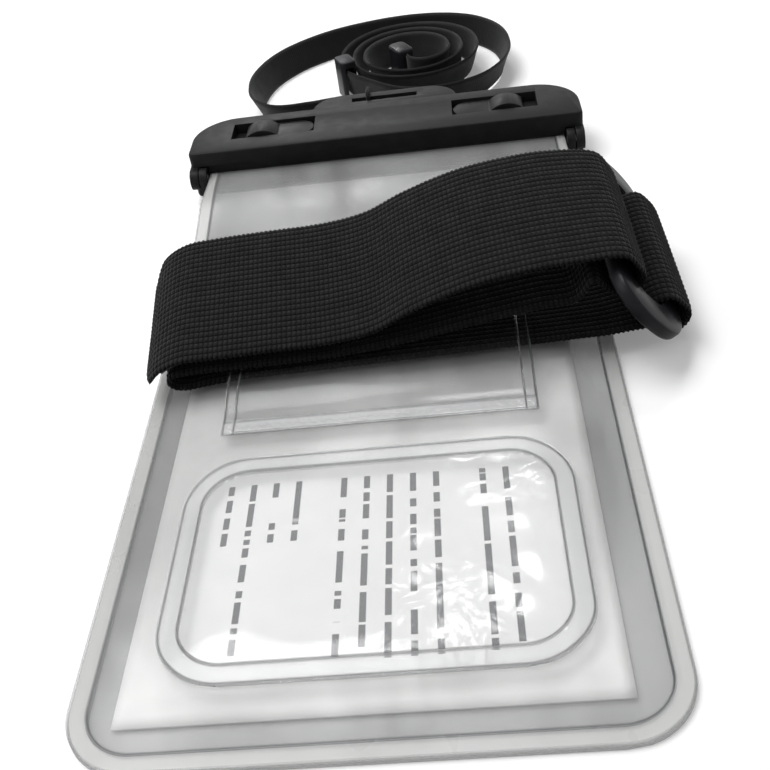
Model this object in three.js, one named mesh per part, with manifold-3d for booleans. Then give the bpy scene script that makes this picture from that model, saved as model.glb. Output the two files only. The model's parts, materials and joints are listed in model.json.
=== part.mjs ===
// Waterproof phone pouch with a clamp bar, a folded elastic armband and a neck lanyard.
// Millimetres. The pouch lies on its back: X across it, Y from its closed bottom to the clamp bar, Z up.
import * as THREE from "three";
import { mergeVertices } from "three/addons/utils/BufferGeometryUtils.js";
import Module from "manifold-3d";

const wasm = await Module();
wasm.setup();

// Gap between pieces that lie on or in each other
const SEAT_GAP = 0.3;

// Bag
const BAG_WIDTH = 105;
const BAG_LENGTH = 191.5;
const BAG_CORNER_R = 13;
const FILM_T = 0.5;
const RIM_WIDTH = 5.5;
const PUFF = 3.6;
const PUFF_RUN = 18;
const PUFF_FULLNESS = 0.7;
const NECK_TAPER = 14;
const NECK_RISE_RUN = 45;
const MOUTH_TUCK = 9;
const MOUTH_FADE = 26;

// Window in the upper film
const WINDOW_WIDTH = 77;
const WINDOW_LENGTH = 55;
const WINDOW_CORNER_R = 13;
const WINDOW_FROM_BOTTOM = 13.2;
const WINDOW_T = 0.4;
const WINDOW_WELD = 4;

// Armband sleeve, a strip of film welded over the upper film
const SLEEVE_WIDTH = 67;
const SLEEVE_WELD = 4;
const SLEEVE_T = 0.4;
const SLEEVE_BELOW_BAND = 19;
const SLEEVE_ABOVE_BAND = 18;
const SLEEVE_RAMP = 11;

// Paper insert
const INSERT_LENGTH = 144;
const INSERT_T = 0.4;
const INSERT_SIDE_SHIFT = -0.8;
const INSERT_MARGIN = 3;
const INSERT_SIDE_ROOM = 3.75;

// Clamp bar
const CLAMP_OVERHANG = 4.4;
const CLAMP_DEPTH = 22;
const CLAMP_CORNER_R = 13;
const CLAMP_NEAR_R = 1.6;
const REAR_JAW_T = 5.6;
const FRONT_JAW_T = 6.4;
const CLAMP_BEVEL = 0.7;
const JAW_END_GAP = 0.5;

// Hinge of the front jaw
const PIN_R = 1.1;
const PIN_CLEARANCE = 0.2;
const EAR_R = 3;
const EAR_T = 2.2;
const ARM_T = 2.4;
const HINGE_SETBACK = 1.5;

// Latches in the front jaw
const LATCH_END_MARGIN = 16.1;
const LATCH_LENGTH = 20.2;
const LATCH_TRAVEL = 3.8;
const LATCH_WIDTH = 9;
const LATCH_T = 1.9;
const LATCH_FROM_MOUTH = 12;
const RECESS_DEPTH = 3;
const THUMB_LENGTH = 9.6;
const THUMB_WIDTH = 7.4;
const THUMB_RISE = 1.9;
const POST_LENGTH = 5;
const POST_WIDTH = 3;
const POST_CLEARANCE = 0.7;

// Seal strip in the rear jaw
const SEAL_WIDTH = 3.4;
const SEAL_T = 1.4;
const SEAL_FROM_MOUTH = 4.5;
const SEAL_END_MARGIN = 3;

// Lanyard lug on the rear jaw
const LUG_WIDTH = 44;
const LUG_DEPTH = 11;
const LUG_HEIGHT = 12.4;
const LUG_CORNER_R = 9;
const LUG_SLOT_WIDTH = 20;
const LUG_SLOT_DEPTH = 2.6;
const LUG_BAR = 3.6;

// Armband webbing and its ring
const BAND_WIDTH = 38;
const BAND_T = 1.6;
const BAND_FROM_BOTTOM = 95;
const BAND_SKEW = 0.05;
const PATCH_T = 0.9;
const PATCH_WIDTH = 35;
const RING_LENGTH = 57;
const RING_WIDTH = 22;
const RING_T = 3.2;
const RING_SLOT_WIDTH = 10;
const RING_SLOT_MARGIN = 2;
const RING_TILT = THREE.MathUtils.degToRad(50);
const RING_PITCH = THREE.MathUtils.degToRad(8);
const RING_X = 57.5;
const RING_RISE = 11.3;
const BAND_RING_GAP = 1.3;
const BAND_SLACK = 0.1;

// Lanyard
const RIBBON_WIDTH = 10;
const RIBBON_T = 1.1;
const RIBBON_STEPS = 78;
const TETHER_T = 1.4;
const TETHER_X = -5;
const TETHER_STEPS = 28;
const CRIMP_LENGTH = 6;
const CRIMP_WIDTH = 3.6;
const CRIMP_HEIGHT = 9;
const SLIDER_LENGTH = 8;
const SLIDER_WIDTH = 5.4;
const SLIDER_HEIGHT = 12.6;
const SLIDER_TURN = THREE.MathUtils.degToRad(203);
const CLASP_LENGTH = 9;
const CLASP_WIDTH = 6;
const CLASP_HEIGHT = 11;

// Widths that follow from the bag's: the neck fits between the hinge ears of the clamp
const CLAMP_WIDTH = BAG_WIDTH + 2 * CLAMP_OVERHANG;
const NECK_WIDTH = CLAMP_WIDTH - 2 * (ARM_T + SEAT_GAP + EAR_T + JAW_END_GAP);
const INSERT_WIDTH = BAG_WIDTH - 2 * (RIM_WIDTH + INSERT_SIDE_ROOM);
const LATCH_INNER_X = CLAMP_WIDTH / 2 - LATCH_END_MARGIN - LATCH_LENGTH;

// Levels that follow from the thicknesses
const MOUTH_LOW = REAR_JAW_T + SEAT_GAP;
const FILM_STEP = FILM_T + SEAT_GAP;
const FRONT_JAW_LOW = MOUTH_LOW + FILM_STEP + FILM_T + SEAT_GAP;
const CLAMP_TOP = FRONT_JAW_LOW + FRONT_JAW_T;
const HINGE_Y = BAG_LENGTH - HINGE_SETBACK;
const HINGE_Z = MOUTH_LOW + FILM_STEP;
const BAND_LOW_Z = FILM_STEP + FILM_T + PUFF + SEAT_GAP + BAND_T / 2 + BAND_SLACK;
const RING_Z = BAND_LOW_Z + RING_RISE;

const FROSTED = new THREE.MeshStandardMaterial({ color: 0xc9cbcd, roughness: 0.45, metalness: 0 });
const CLEAR = new THREE.MeshStandardMaterial({ color: 0xdcdfe1, roughness: 0.12, metalness: 0 });
const PAPER = new THREE.MeshStandardMaterial({ color: 0xe6e6e4, roughness: 0.85, metalness: 0 });
const BLACK_PLASTIC = new THREE.MeshStandardMaterial({ color: 0x2b2b2b, roughness: 0.5, metalness: 0 });
const GLOSS_PLASTIC = new THREE.MeshStandardMaterial({ color: 0x2f2f33, roughness: 0.25, metalness: 0 });
const WEBBING = new THREE.MeshStandardMaterial({ color: 0x1e1e1e, roughness: 0.9, metalness: 0 });
const RIBBON = new THREE.MeshStandardMaterial({ color: 0x1a1a1c, roughness: 0.7, metalness: 0 });
const RUBBER = new THREE.MeshStandardMaterial({ color: 0x8d9092, roughness: 0.7, metalness: 0 });
const STEEL = new THREE.MeshStandardMaterial({ color: 0xb8bbbe, roughness: 0.3, metalness: 1 });

const model = new THREE.Group();

function addMesh(name, geometry, material) {
  const mesh = new THREE.Mesh(geometry, material);
  mesh.name = name;
  model.add(mesh);
  return mesh;
}

function welded(geometry) {
  const bare = geometry.clone();
  bare.deleteAttribute("normal");
  bare.deleteAttribute("uv");
  return mergeVertices(bare, 1e-4);
}

function toSolid(geometry) {
  const shared = welded(geometry);
  const vertProperties = new Float32Array(shared.attributes.position.array);
  const triVerts = new Uint32Array(shared.index.array);
  return new wasm.Manifold(new wasm.Mesh({ numProp: 3, vertProperties, triVerts }));
}

function toGeometry(solid) {
  const mesh = solid.getMesh();
  const geometry = new THREE.BufferGeometry();
  geometry.setAttribute("position", new THREE.BufferAttribute(new Float32Array(mesh.vertProperties), 3));
  geometry.setIndex(Array.from(mesh.triVerts));
  geometry.computeVertexNormals();
  return geometry;
}

function block(x0, x1, y0, y1, z0, z1) {
  const geometry = new THREE.BoxGeometry(x1 - x0, y1 - y0, z1 - z0);
  return geometry.translate((x0 + x1) / 2, (y0 + y1) / 2, (z0 + z1) / 2);
}

function roundedRectangle(width, length, farR, nearR = farR) {
  const x = width / 2;
  const shape = new THREE.Shape();
  shape.moveTo(-x + nearR, 0);
  shape.lineTo(x - nearR, 0);
  shape.absarc(x - nearR, nearR, nearR, -Math.PI / 2, 0, false);
  shape.lineTo(x, length - farR);
  shape.absarc(x - farR, length - farR, farR, 0, Math.PI / 2, false);
  shape.lineTo(-x + farR, length);
  shape.absarc(-x + farR, length - farR, farR, Math.PI / 2, Math.PI, false);
  shape.lineTo(-x, nearR);
  shape.absarc(-x + nearR, nearR, nearR, Math.PI, 1.5 * Math.PI, false);
  return shape;
}

function plate(shape, thickness, curveSegments = 8, bevel = 0) {
  const geometry = new THREE.ExtrudeGeometry(shape, {
    depth: thickness - 2 * bevel,
    curveSegments,
    bevelEnabled: bevel > 0,
    bevelThickness: bevel,
    bevelSize: bevel,
    bevelOffset: -bevel,
    bevelSegments: 2,
  });
  return geometry.translate(0, 0, bevel);
}

function rodAlongX(radius, x0, x1, y, z, sides = 24) {
  const geometry = new THREE.CylinderGeometry(radius, radius, x1 - x0, sides);
  return geometry.rotateZ(-Math.PI / 2).translate((x0 + x1) / 2, y, z);
}

function smoothstep(t) {
  const c = THREE.MathUtils.clamp(t, 0, 1);
  return c * c * (3 - 2 * c);
}

// A sheet from a grid of stations: place(x, y, side) gives each point, side 0 below and 1 above
function sheet(xStations, yStations, place) {
  const nx = xStations.length - 1;
  const ny = yStations.length - 1;
  const geometry = new THREE.BoxGeometry(nx, ny, 1, nx, ny, 1);
  const position = geometry.attributes.position;
  const point = new THREE.Vector3();
  for (let i = 0; i < position.count; i += 1) {
    const column = Math.round(position.getX(i) + nx / 2);
    const row = Math.round(position.getY(i) + ny / 2);
    place(xStations[column], yStations[row], position.getZ(i) > 0 ? 1 : 0, point);
    position.setXYZ(i, point.x, point.y, point.z);
  }
  return welded(geometry);
}

function mirrored(halves) {
  return [...halves.map((v) => -v).reverse(), ...halves.slice(halves[0] === 0 ? 1 : 0)];
}

// Half width of the bag at a place y along it: round bottom corners, and a slight taper into the clamp
function bagHalfWidth(y) {
  const taper = smoothstep((y - (BAG_LENGTH - NECK_TAPER)) / NECK_TAPER);
  const straight = THREE.MathUtils.lerp(BAG_WIDTH, NECK_WIDTH, taper) / 2;
  if (y >= BAG_CORNER_R) return straight;
  const drop = BAG_CORNER_R - y;
  return straight - BAG_CORNER_R + Math.sqrt(BAG_CORNER_R ** 2 - drop ** 2);
}

// Height of the lower film: flat on the table, rising to the middle of the clamp
function bagBase(y) {
  return MOUTH_LOW * smoothstep((y - (BAG_LENGTH - NECK_RISE_RUN)) / NECK_RISE_RUN);
}

// Distance from the inner edge of the weld rim
function insideRim(x, y) {
  const r = BAG_CORNER_R - RIM_WIDTH;
  const side = bagHalfWidth(Math.max(y, BAG_CORNER_R)) - RIM_WIDTH - Math.abs(x);
  const low = y - RIM_WIDTH;
  if (side > r || low > r) return Math.min(side, low);
  return r - Math.hypot(r - side, r - low);
}

function bagPuff(x, y) {
  const inside = THREE.MathUtils.clamp(insideRim(x, y) / PUFF_RUN, 0, 1);
  const fade = smoothstep((BAG_LENGTH - MOUTH_FLAT - y) / MOUTH_FADE);
  return PUFF * fade * Math.sin((inside * Math.PI) / 2) ** PUFF_FULLNESS;
}

function upperFilmTop(x, y) {
  return bagBase(y) + FILM_STEP + FILM_T + bagPuff(x, y);
}

// Stations between two places, at these shares of the way
function stations(from, to, shares) {
  return shares.map((share) => THREE.MathUtils.lerp(from, to, share));
}

const RIM_INNER_X = BAG_WIDTH / 2 - RIM_WIDTH;
const NECK_START = BAG_LENGTH - NECK_RISE_RUN;
const MOUTH_FLAT = 2;
const filmColumns = mirrored([
  ...stations(0, RIM_INNER_X - PUFF_RUN, [0, 0.5, 1]),
  ...stations(RIM_INNER_X - PUFF_RUN, RIM_INNER_X, [0.3, 0.6, 0.8, 0.93, 1]),
  BAG_WIDTH / 2,
]);
const filmRows = [
  ...stations(0, BAG_CORNER_R, [0, 0.05, 0.17, 0.57, 0.77, 1]),
  RIM_WIDTH,
  ...stations(BAG_CORNER_R, NECK_START, [0.045, 0.1, 0.2, 0.32, 0.44, 0.58, 0.72, 0.86, 1]),
  ...stations(NECK_START, BAG_LENGTH - MOUTH_FLAT, [0.15, 0.31, 0.45, 0.59, 0.71, 0.83, 0.93, 1]),
  BAG_LENGTH,
  BAG_LENGTH + MOUTH_TUCK,
].sort((a, b) => a - b);

function film(lowest) {
  return sheet(filmColumns, filmRows, (x, y, side, point) => {
    const spread = (bagHalfWidth(y) * 2) / BAG_WIDTH;
    point.set(x * spread, y, lowest(x * spread, y) + side * FILM_T);
  });
}

function makeFilms() {
  addMesh("lower_film", film((x, y) => bagBase(y)), FROSTED);
  const upper = film((x, y) => upperFilmTop(x, y) - FILM_T);
  const opening = roundedRectangle(
    WINDOW_WIDTH - 2 * WINDOW_WELD,
    WINDOW_LENGTH - 2 * WINDOW_WELD,
    WINDOW_CORNER_R - WINDOW_WELD,
  );
  const cutter = plate(opening, 4 * PUFF).translate(0, WINDOW_FROM_BOTTOM + WINDOW_WELD, -PUFF);
  addMesh("upper_film", toGeometry(toSolid(upper).subtract(toSolid(cutter))), FROSTED);
}

function windowHalfWidth(y) {
  const r = WINDOW_CORNER_R;
  const end = Math.min(y - WINDOW_FROM_BOTTOM, WINDOW_FROM_BOTTOM + WINDOW_LENGTH - y);
  const drop = Math.max(0, r - end);
  return WINDOW_WIDTH / 2 - r + Math.sqrt(Math.max(0, r * r - drop * drop));
}

function makeWindow() {
  const columns = mirrored(stations(0, WINDOW_WIDTH / 2, [0, 0.28, 0.52, 0.7, 0.83, 0.92, 1]));
  const near = [
    ...stations(0, WINDOW_CORNER_R, [0, 0.045, 0.17, 0.38, 0.66, 1]),
    (WINDOW_CORNER_R + WINDOW_LENGTH / 2) / 2,
  ];
  const rows = [...near, ...near.map((v) => WINDOW_LENGTH - v).reverse()].map((v) => v + WINDOW_FROM_BOTTOM);
  const geometry = sheet(columns, rows, (x, y, side, point) => {
    const px = (x * 2 * windowHalfWidth(y)) / WINDOW_WIDTH;
    point.set(px, y, upperFilmTop(px, y) + SEAT_GAP + side * WINDOW_T);
  });
  addMesh("window_film", geometry, CLEAR);
}

function makeSleeve() {
  const start = BAND_FROM_BOTTOM - SLEEVE_BELOW_BAND;
  const end = BAND_FROM_BOTTOM + BAND_WIDTH + SLEEVE_ABOVE_BAND;
  const rampEnd = SLEEVE_WELD + SLEEVE_RAMP;
  const columns = mirrored(stations(0, SLEEVE_WIDTH / 2, [0, 0.35, 0.7, 1]));
  const near = [0, ...stations(SLEEVE_WELD, rampEnd, [0, 0.27, 0.55, 1])];
  const rows = [
    ...near.map((v) => start + v),
    ...stations(start + rampEnd, end - rampEnd, [0.22, 0.46, 0.73]),
    ...near.map((v) => end - v).reverse(),
  ];
  const overBand = BAND_LOW_Z + BAND_T / 2 + SEAT_GAP;
  const geometry = sheet(columns, rows, (x, y, side, point) => {
    const low = upperFilmTop(x, y) + SEAT_GAP;
    const lift = smoothstep((Math.min(y - start, end - y) - SLEEVE_WELD) / SLEEVE_RAMP);
    const level = THREE.MathUtils.lerp(low, Math.max(low, overBand), lift);
    point.set(x, y, level + side * SLEEVE_T);
  });
  addMesh("armband_sleeve", geometry, CLEAR);
}

function makeInsert() {
  const low = RIM_WIDTH + INSERT_MARGIN;
  const rows = stations(low, low + INSERT_LENGTH, [0, 0.35, 0.67, 0.95, 1]);
  const half = INSERT_WIDTH / 2;
  const geometry = sheet([-half, 0, half], rows, (x, y, side, point) => {
    point.set(x + INSERT_SIDE_SHIFT, y, bagBase(y) + FILM_STEP + side * INSERT_T);
  });
  addMesh("paper_insert", geometry, PAPER);
}

// Outer and inner faces of the hinge ears, which stand beside the neck of the bag
const EAR_INNER_X = NECK_WIDTH / 2 + JAW_END_GAP;
const EAR_OUTER_X = EAR_INNER_X + EAR_T;
const ARM_INNER_X = EAR_OUTER_X + SEAT_GAP;

function sides(make) {
  return [-1, 1].map((side) => make(side));
}

function endRod(side, radius, inner, outer, sidesOfRod = 24) {
  const x0 = Math.min(side * inner, side * outer);
  const x1 = Math.max(side * inner, side * outer);
  return toSolid(rodAlongX(radius, x0, x1, HINGE_Y, HINGE_Z, sidesOfRod));
}

function endBlock(side, inner, outer, y0, y1, z0, z1) {
  const x0 = Math.min(side * inner, side * outer);
  const x1 = Math.max(side * inner, side * outer);
  return toSolid(block(x0, x1, y0, y1, z0, z1));
}

const POST_X = LATCH_INNER_X + LATCH_LENGTH / 2;
const POST_Y = BAG_LENGTH + LATCH_FROM_MOUTH + LATCH_WIDTH / 4;
const RECESS_FLOOR = CLAMP_TOP - RECESS_DEPTH;
const PAST = 2;

function makeRearJaw() {
  const outline = roundedRectangle(CLAMP_WIDTH, CLAMP_DEPTH, CLAMP_CORNER_R, CLAMP_NEAR_R);
  let jaw = toSolid(plate(outline, REAR_JAW_T, 7, CLAMP_BEVEL).translate(0, BAG_LENGTH, 0));
  const lugOutline = roundedRectangle(LUG_WIDTH, LUG_DEPTH + PAST, LUG_CORNER_R, CLAMP_NEAR_R);
  const lugStart = BAG_LENGTH + CLAMP_DEPTH - PAST;
  const lug = plate(lugOutline, LUG_HEIGHT, 7, CLAMP_BEVEL).translate(0, lugStart, 0);
  jaw = jaw.add(toSolid(lug));
  // Room for the front jaw's far edge, which closes in front of the lug
  const lugFront = BAG_LENGTH + CLAMP_DEPTH + JAW_END_GAP;
  jaw = jaw.subtract(toSolid(block(
    -LUG_WIDTH, LUG_WIDTH, lugStart - PAST, lugFront, REAR_JAW_T, LUG_HEIGHT + PAST,
  )));
  const slotEnd = BAG_LENGTH + CLAMP_DEPTH + LUG_DEPTH - LUG_BAR;
  const slot = block(
    -LUG_SLOT_WIDTH / 2, LUG_SLOT_WIDTH / 2, slotEnd - LUG_SLOT_DEPTH, slotEnd, -PAST, LUG_HEIGHT + PAST,
  );
  jaw = jaw.subtract(toSolid(slot));
  const tetherRoom = TETHER_T / 2 + 2 * SEAT_GAP;
  jaw = jaw.subtract(toSolid(block(
    TETHER_X - tetherRoom, TETHER_X + tetherRoom, slotEnd - PAST / 2, slotEnd + LUG_BAR + PAST,
    -PAST, TETHER_T + 3 * SEAT_GAP,
  )));
  const sealHalf = SEAL_WIDTH / 2 + SEAT_GAP;
  const sealY = BAG_LENGTH + SEAL_FROM_MOUTH;
  const sealReach = NECK_WIDTH / 2 - SEAL_END_MARGIN + SEAT_GAP;
  jaw = jaw.subtract(toSolid(block(
    -sealReach, sealReach, sealY - sealHalf, sealY + sealHalf, REAR_JAW_T - SEAL_T - SEAT_GAP, REAR_JAW_T + PAST,
  )));
  for (const side of [-1, 1]) {
    const earTop = endRod(side, EAR_R, EAR_INNER_X, EAR_OUTER_X);
    const earFoot = endBlock(
      side, EAR_INNER_X, EAR_OUTER_X, HINGE_Y - EAR_R, BAG_LENGTH + EAR_R, 1, HINGE_Z,
    );
    jaw = jaw.add(earTop).add(earFoot);
    jaw = jaw.subtract(endRod(side, EAR_R + SEAT_GAP, EAR_OUTER_X, CLAMP_WIDTH / 2 + PAST));
    jaw = jaw.subtract(endRod(side, PIN_R + PIN_CLEARANCE, EAR_INNER_X - PAST, EAR_OUTER_X + PAST));
    const post = block(
      side * POST_X - POST_LENGTH / 2, side * POST_X + POST_LENGTH / 2,
      POST_Y - POST_WIDTH / 2, POST_Y + POST_WIDTH / 2, REAR_JAW_T / 2, RECESS_FLOOR - SEAT_GAP,
    );
    jaw = jaw.add(toSolid(post));
  }
  addMesh("clamp_rear_jaw", toGeometry(jaw), BLACK_PLASTIC);
}

function makeFrontJaw() {
  const outline = roundedRectangle(CLAMP_WIDTH, CLAMP_DEPTH, CLAMP_CORNER_R, CLAMP_NEAR_R);
  const low = REAR_JAW_T + SEAT_GAP;
  let jaw = toSolid(plate(outline, CLAMP_TOP - low, 7, CLAMP_BEVEL).translate(0, BAG_LENGTH, low));
  // Room for the mouth of the bag under the jaw
  const mouthEnd = BAG_LENGTH + MOUTH_TUCK + JAW_END_GAP;
  const mouth = block(
    -ARM_INNER_X, ARM_INNER_X, BAG_LENGTH - PAST, mouthEnd, low - PAST, FRONT_JAW_LOW,
  );
  jaw = jaw.subtract(toSolid(mouth));
  for (const side of [-1, 1]) {
    const recess = endBlock(
      side, LATCH_INNER_X - SEAT_GAP, LATCH_INNER_X + LATCH_LENGTH + LATCH_TRAVEL + SEAT_GAP,
      BAG_LENGTH + LATCH_FROM_MOUTH - LATCH_WIDTH / 2 - SEAT_GAP,
      BAG_LENGTH + LATCH_FROM_MOUTH + LATCH_WIDTH / 2 + SEAT_GAP,
      RECESS_FLOOR, CLAMP_TOP + PAST,
    );
    const postHole = block(
      side * POST_X - POST_LENGTH / 2 - POST_CLEARANCE, side * POST_X + POST_LENGTH / 2 + POST_CLEARANCE,
      POST_Y - POST_WIDTH / 2 - POST_CLEARANCE, POST_Y + POST_WIDTH / 2 + POST_CLEARANCE,
      low - PAST, RECESS_FLOOR + 1,
    );
    jaw = jaw.subtract(recess).subtract(toSolid(postHole));
    jaw = jaw.subtract(endRod(side, EAR_R + SEAT_GAP, EAR_INNER_X - SEAT_GAP, ARM_INNER_X));
    const arm = endRod(side, EAR_R, ARM_INNER_X, CLAMP_WIDTH / 2);
    const armRoot = endBlock(
      side, ARM_INNER_X, CLAMP_WIDTH / 2, HINGE_Y, BAG_LENGTH + EAR_R, HINGE_Z, HINGE_Z + EAR_R,
    );
    jaw = jaw.add(arm).add(armRoot);
    jaw = jaw.subtract(endRod(side, PIN_R + PIN_CLEARANCE, ARM_INNER_X - PAST, CLAMP_WIDTH / 2 + PAST));
  }
  addMesh("clamp_front_jaw", toGeometry(jaw), BLACK_PLASTIC);
}

function makePins() {
  sides((side) => {
    const pin = endRod(side, PIN_R, EAR_INNER_X, CLAMP_WIDTH / 2 - SEAT_GAP);
    addMesh(side < 0 ? "hinge_pin_left" : "hinge_pin_right", toGeometry(pin), STEEL);
  });
}

function makeSeal() {
  const reach = NECK_WIDTH / 2 - SEAL_END_MARGIN;
  const y = BAG_LENGTH + SEAL_FROM_MOUTH;
  const top = REAR_JAW_T;
  addMesh("seal_strip", block(-reach, reach, y - SEAL_WIDTH / 2, y + SEAL_WIDTH / 2, top - SEAL_T, top), RUBBER);
}

// A latch slides outwards in its recess: a flat plate with a round inner end and an arched thumb rest
function makeLatches() {
  const half = LATCH_WIDTH / 2;
  sides((side) => {
    const outline = new THREE.Shape();
    outline.moveTo(half, -half);
    outline.lineTo(LATCH_LENGTH, -half);
    outline.lineTo(LATCH_LENGTH, half);
    outline.lineTo(half, half);
    outline.absarc(half, 0, half, Math.PI / 2, 1.5 * Math.PI, false);
    const body = toSolid(plate(outline, LATCH_T, 10));
    const arch = new THREE.Shape();
    const sag = THUMB_RISE;
    const archR = (THUMB_LENGTH ** 2 / 4 + sag ** 2) / (2 * sag);
    const archHalfAngle = Math.asin(THUMB_LENGTH / 2 / archR);
    arch.absarc(
      LATCH_LENGTH - THUMB_LENGTH / 2, LATCH_T - archR + sag, archR,
      Math.PI / 2 + archHalfAngle, Math.PI / 2 - archHalfAngle, true,
    );
    arch.lineTo(LATCH_LENGTH, LATCH_T / 2);
    arch.lineTo(LATCH_LENGTH - THUMB_LENGTH, LATCH_T / 2);
    const rest = new THREE.ExtrudeGeometry(arch, { depth: THUMB_WIDTH, curveSegments: 10, bevelEnabled: false });
    rest.rotateX(Math.PI / 2).translate(0, THUMB_WIDTH / 2, 0);
    let latch = body.add(toSolid(rest));
    if (side < 0) latch = latch.mirror([1, 0, 0]);
    const place = [side * LATCH_INNER_X, BAG_LENGTH + LATCH_FROM_MOUTH, RECESS_FLOOR + SEAT_GAP];
    const geometry = toGeometry(latch.translate(place));
    addMesh(side < 0 ? "latch_left" : "latch_right", geometry, BLACK_PLASTIC);
  });
}

// The ring leans between the two runs of the armband; across it is local X, along it local Y
const RING_BAR_U = (RING_WIDTH + RING_SLOT_WIDTH) / 4;
const ringPlace = new THREE.Object3D();
ringPlace.rotation.set(RING_PITCH, RING_TILT, Math.atan(BAND_SKEW), "ZXY");
ringPlace.position.set(RING_X, BAND_FROM_BOTTOM + BAND_SKEW * RING_X + BAND_WIDTH / 2, RING_Z);
ringPlace.updateMatrixWorld(true);

// Places of the webbing round a bar of the ring: across the ring, and square to it
const BAR_WRAP_U = (RING_WIDTH - RING_SLOT_WIDTH) / 4 + BAND_T / 2 + BAND_RING_GAP;
const BAR_WRAP_V = RING_T / 2 + BAND_T / 2 + BAND_RING_GAP;
const sewnTurn = [
  [-0.66, -1.3], [-0.92, -0.8], [-0.98, 0], [-0.62, 0.94], [0.1, 1.06], [0.78, 0.86], [1.08, 0.1],
  [0.86, -0.84], [0.2, -1.1],
].map(([u, v]) => [RING_BAR_U + u * BAR_WRAP_U, v * BAR_WRAP_V]);
const slidingTurn = [
  [-0.7, -1.2], [0.15, -1.1], [0.72, -0.86], [1.02, 0], [0.72, 0.86], [0.1, 1.1], [-0.75, 1.12],
].map(([u, v]) => [-RING_BAR_U + u * BAR_WRAP_U, v * BAR_WRAP_V]);

// The runs between the turns: x, height of the near edge over the lowest run, rise of the far edge
const lowerRun = [
  [50, 0, 1.2], [42, 0, 0.1], [30, 0, 0], [8, 0, 0], [-14, 0, 0], [-32, 0, 0],
  [-38.6, -0.5, 0.3], [-43.4, -1, 0.8], [-46, -0.5, 1.4], [-47.2, 1, 2.3], [-46, 2.5, 3.3],
  [-43.2, 3, 4.2], [-35, 3.1, 5.2], [-24, 3, 6], [-8, 3.2, 6.6], [8, 4.9, 7], [24, 7.5, 7], [36, 9.1, 6.6], [44, 9.9, 6],
];
const topRun = [
  [43, 19.5, 7.2], [34, 18.9, 7.6], [22, 16.9, 8], [9, 12.5, 8.4], [0, 8.3, 8.8], [-10, 6.7, 8.8],
  [-24, 6.5, 8.8], [-36, 6.4, 8.6], [-44, 6.2, 8], [-49.5, 3.7, 7.4], [-52.4, -0.5, 7],
];
const BAND_STEPS = 132;

function ringPoint([u, v], along) {
  return new THREE.Vector3(u, along, v).applyMatrix4(ringPlace.matrixWorld);
}

function bandEdges() {
  const near = [];
  const far = [];
  const turn = (place) => {
    near.push(ringPoint(place, -BAND_WIDTH / 2));
    far.push(ringPoint(place, BAND_WIDTH / 2));
  };
  const run = ([x, height, rise]) => {
    const y = BAND_FROM_BOTTOM + BAND_SKEW * x;
    const z = BAND_LOW_Z + height;
    const across = Math.sqrt(BAND_WIDTH ** 2 - rise ** 2);
    near.push(new THREE.Vector3(x, y, z));
    far.push(new THREE.Vector3(x - BAND_SKEW * across, y + across, z + rise));
  };
  sewnTurn.forEach(turn);
  lowerRun.forEach(run);
  slidingTurn.forEach(turn);
  topRun.forEach(run);
  return [new THREE.CatmullRomCurve3(near), new THREE.CatmullRomCurve3(far)];
}

// A strap between two edge curves, with its thickness square to its path
function strap([near, far], t0, t1, steps, low, high, inset = 0) {
  const across = [0, 0.5, 1];
  const along = Array.from({ length: steps + 1 }, (unused, i) => i / steps);
  const tangent = new THREE.Vector3();
  const width = new THREE.Vector3();
  const normal = new THREE.Vector3();
  return sheet(across, along, (u, v, side, point) => {
    const t = THREE.MathUtils.lerp(t0, t1, v);
    const a = near.getPoint(t);
    const b = far.getPoint(t);
    const s = THREE.MathUtils.lerp(inset, 1 - inset, u);
    tangent.lerpVectors(near.getTangent(t), far.getTangent(t), s).normalize();
    width.subVectors(b, a).normalize();
    normal.crossVectors(width, tangent).normalize();
    point.lerpVectors(a, b, s).addScaledVector(normal, side ? high : low);
  });
}

function makeArmband() {
  const edges = bandEdges();
  addMesh("armband_webbing", strap(edges, 0, 1, BAND_STEPS, -BAND_T / 2, BAND_T / 2), WEBBING);
  // The hook patch lies under the free end, against the layer below
  const spans = edges[0].points.length - 1;
  const patchStart = (spans - 6) / spans;
  const patchEnd = (spans - 1) / spans;
  const under = BAND_T / 2 + SEAT_GAP;
  const inset = (1 - PATCH_WIDTH / BAND_WIDTH) / 2;
  const patch = strap(edges, patchStart, patchEnd, 16, -under - PATCH_T, -under, inset);
  addMesh("hook_patch", patch, RUBBER);
}

function makeRing() {
  const outer = roundedRectangle(RING_WIDTH, RING_LENGTH, RING_WIDTH / 2 - 1);
  const slotLength = BAND_WIDTH + 2 * RING_SLOT_MARGIN;
  const slot = roundedRectangle(RING_SLOT_WIDTH, slotLength, RING_SLOT_WIDTH / 2 - 1);
  const body = plate(outer, RING_T, 7, 0.8).translate(0, -RING_LENGTH / 2, -RING_T / 2);
  const cutter = plate(slot, 3 * RING_T, 6).translate(0, -slotLength / 2, -1.5 * RING_T);
  const geometry = toGeometry(toSolid(body).subtract(toSolid(cutter)));
  const ring = addMesh("slider_ring", geometry, GLOSS_PLASTIC);
  ring.rotation.copy(ringPlace.rotation);
  ring.position.copy(ringPlace.position);
}

// A thin tether goes round the lug's bar and into a crimp, which holds the ribbon.
// The ribbon stands on edge: it makes one wide loop, winds up beside it and ends in a clasp.
const LUG_FAR_Y = BAG_LENGTH + CLAMP_DEPTH + LUG_DEPTH;
const CRIMP_X = -12.5;
const CRIMP_Y = 4.2;
const COIL_CENTRE = new THREE.Vector2(8, 37);
const COIL_TURNS = 2.75;
const COIL_OUTER_R = 24;
const COIL_PITCH = 4.6;
const COIL_POINTS_A_TURN = 12;
const COIL_START = -0.68 * Math.PI;
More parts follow.
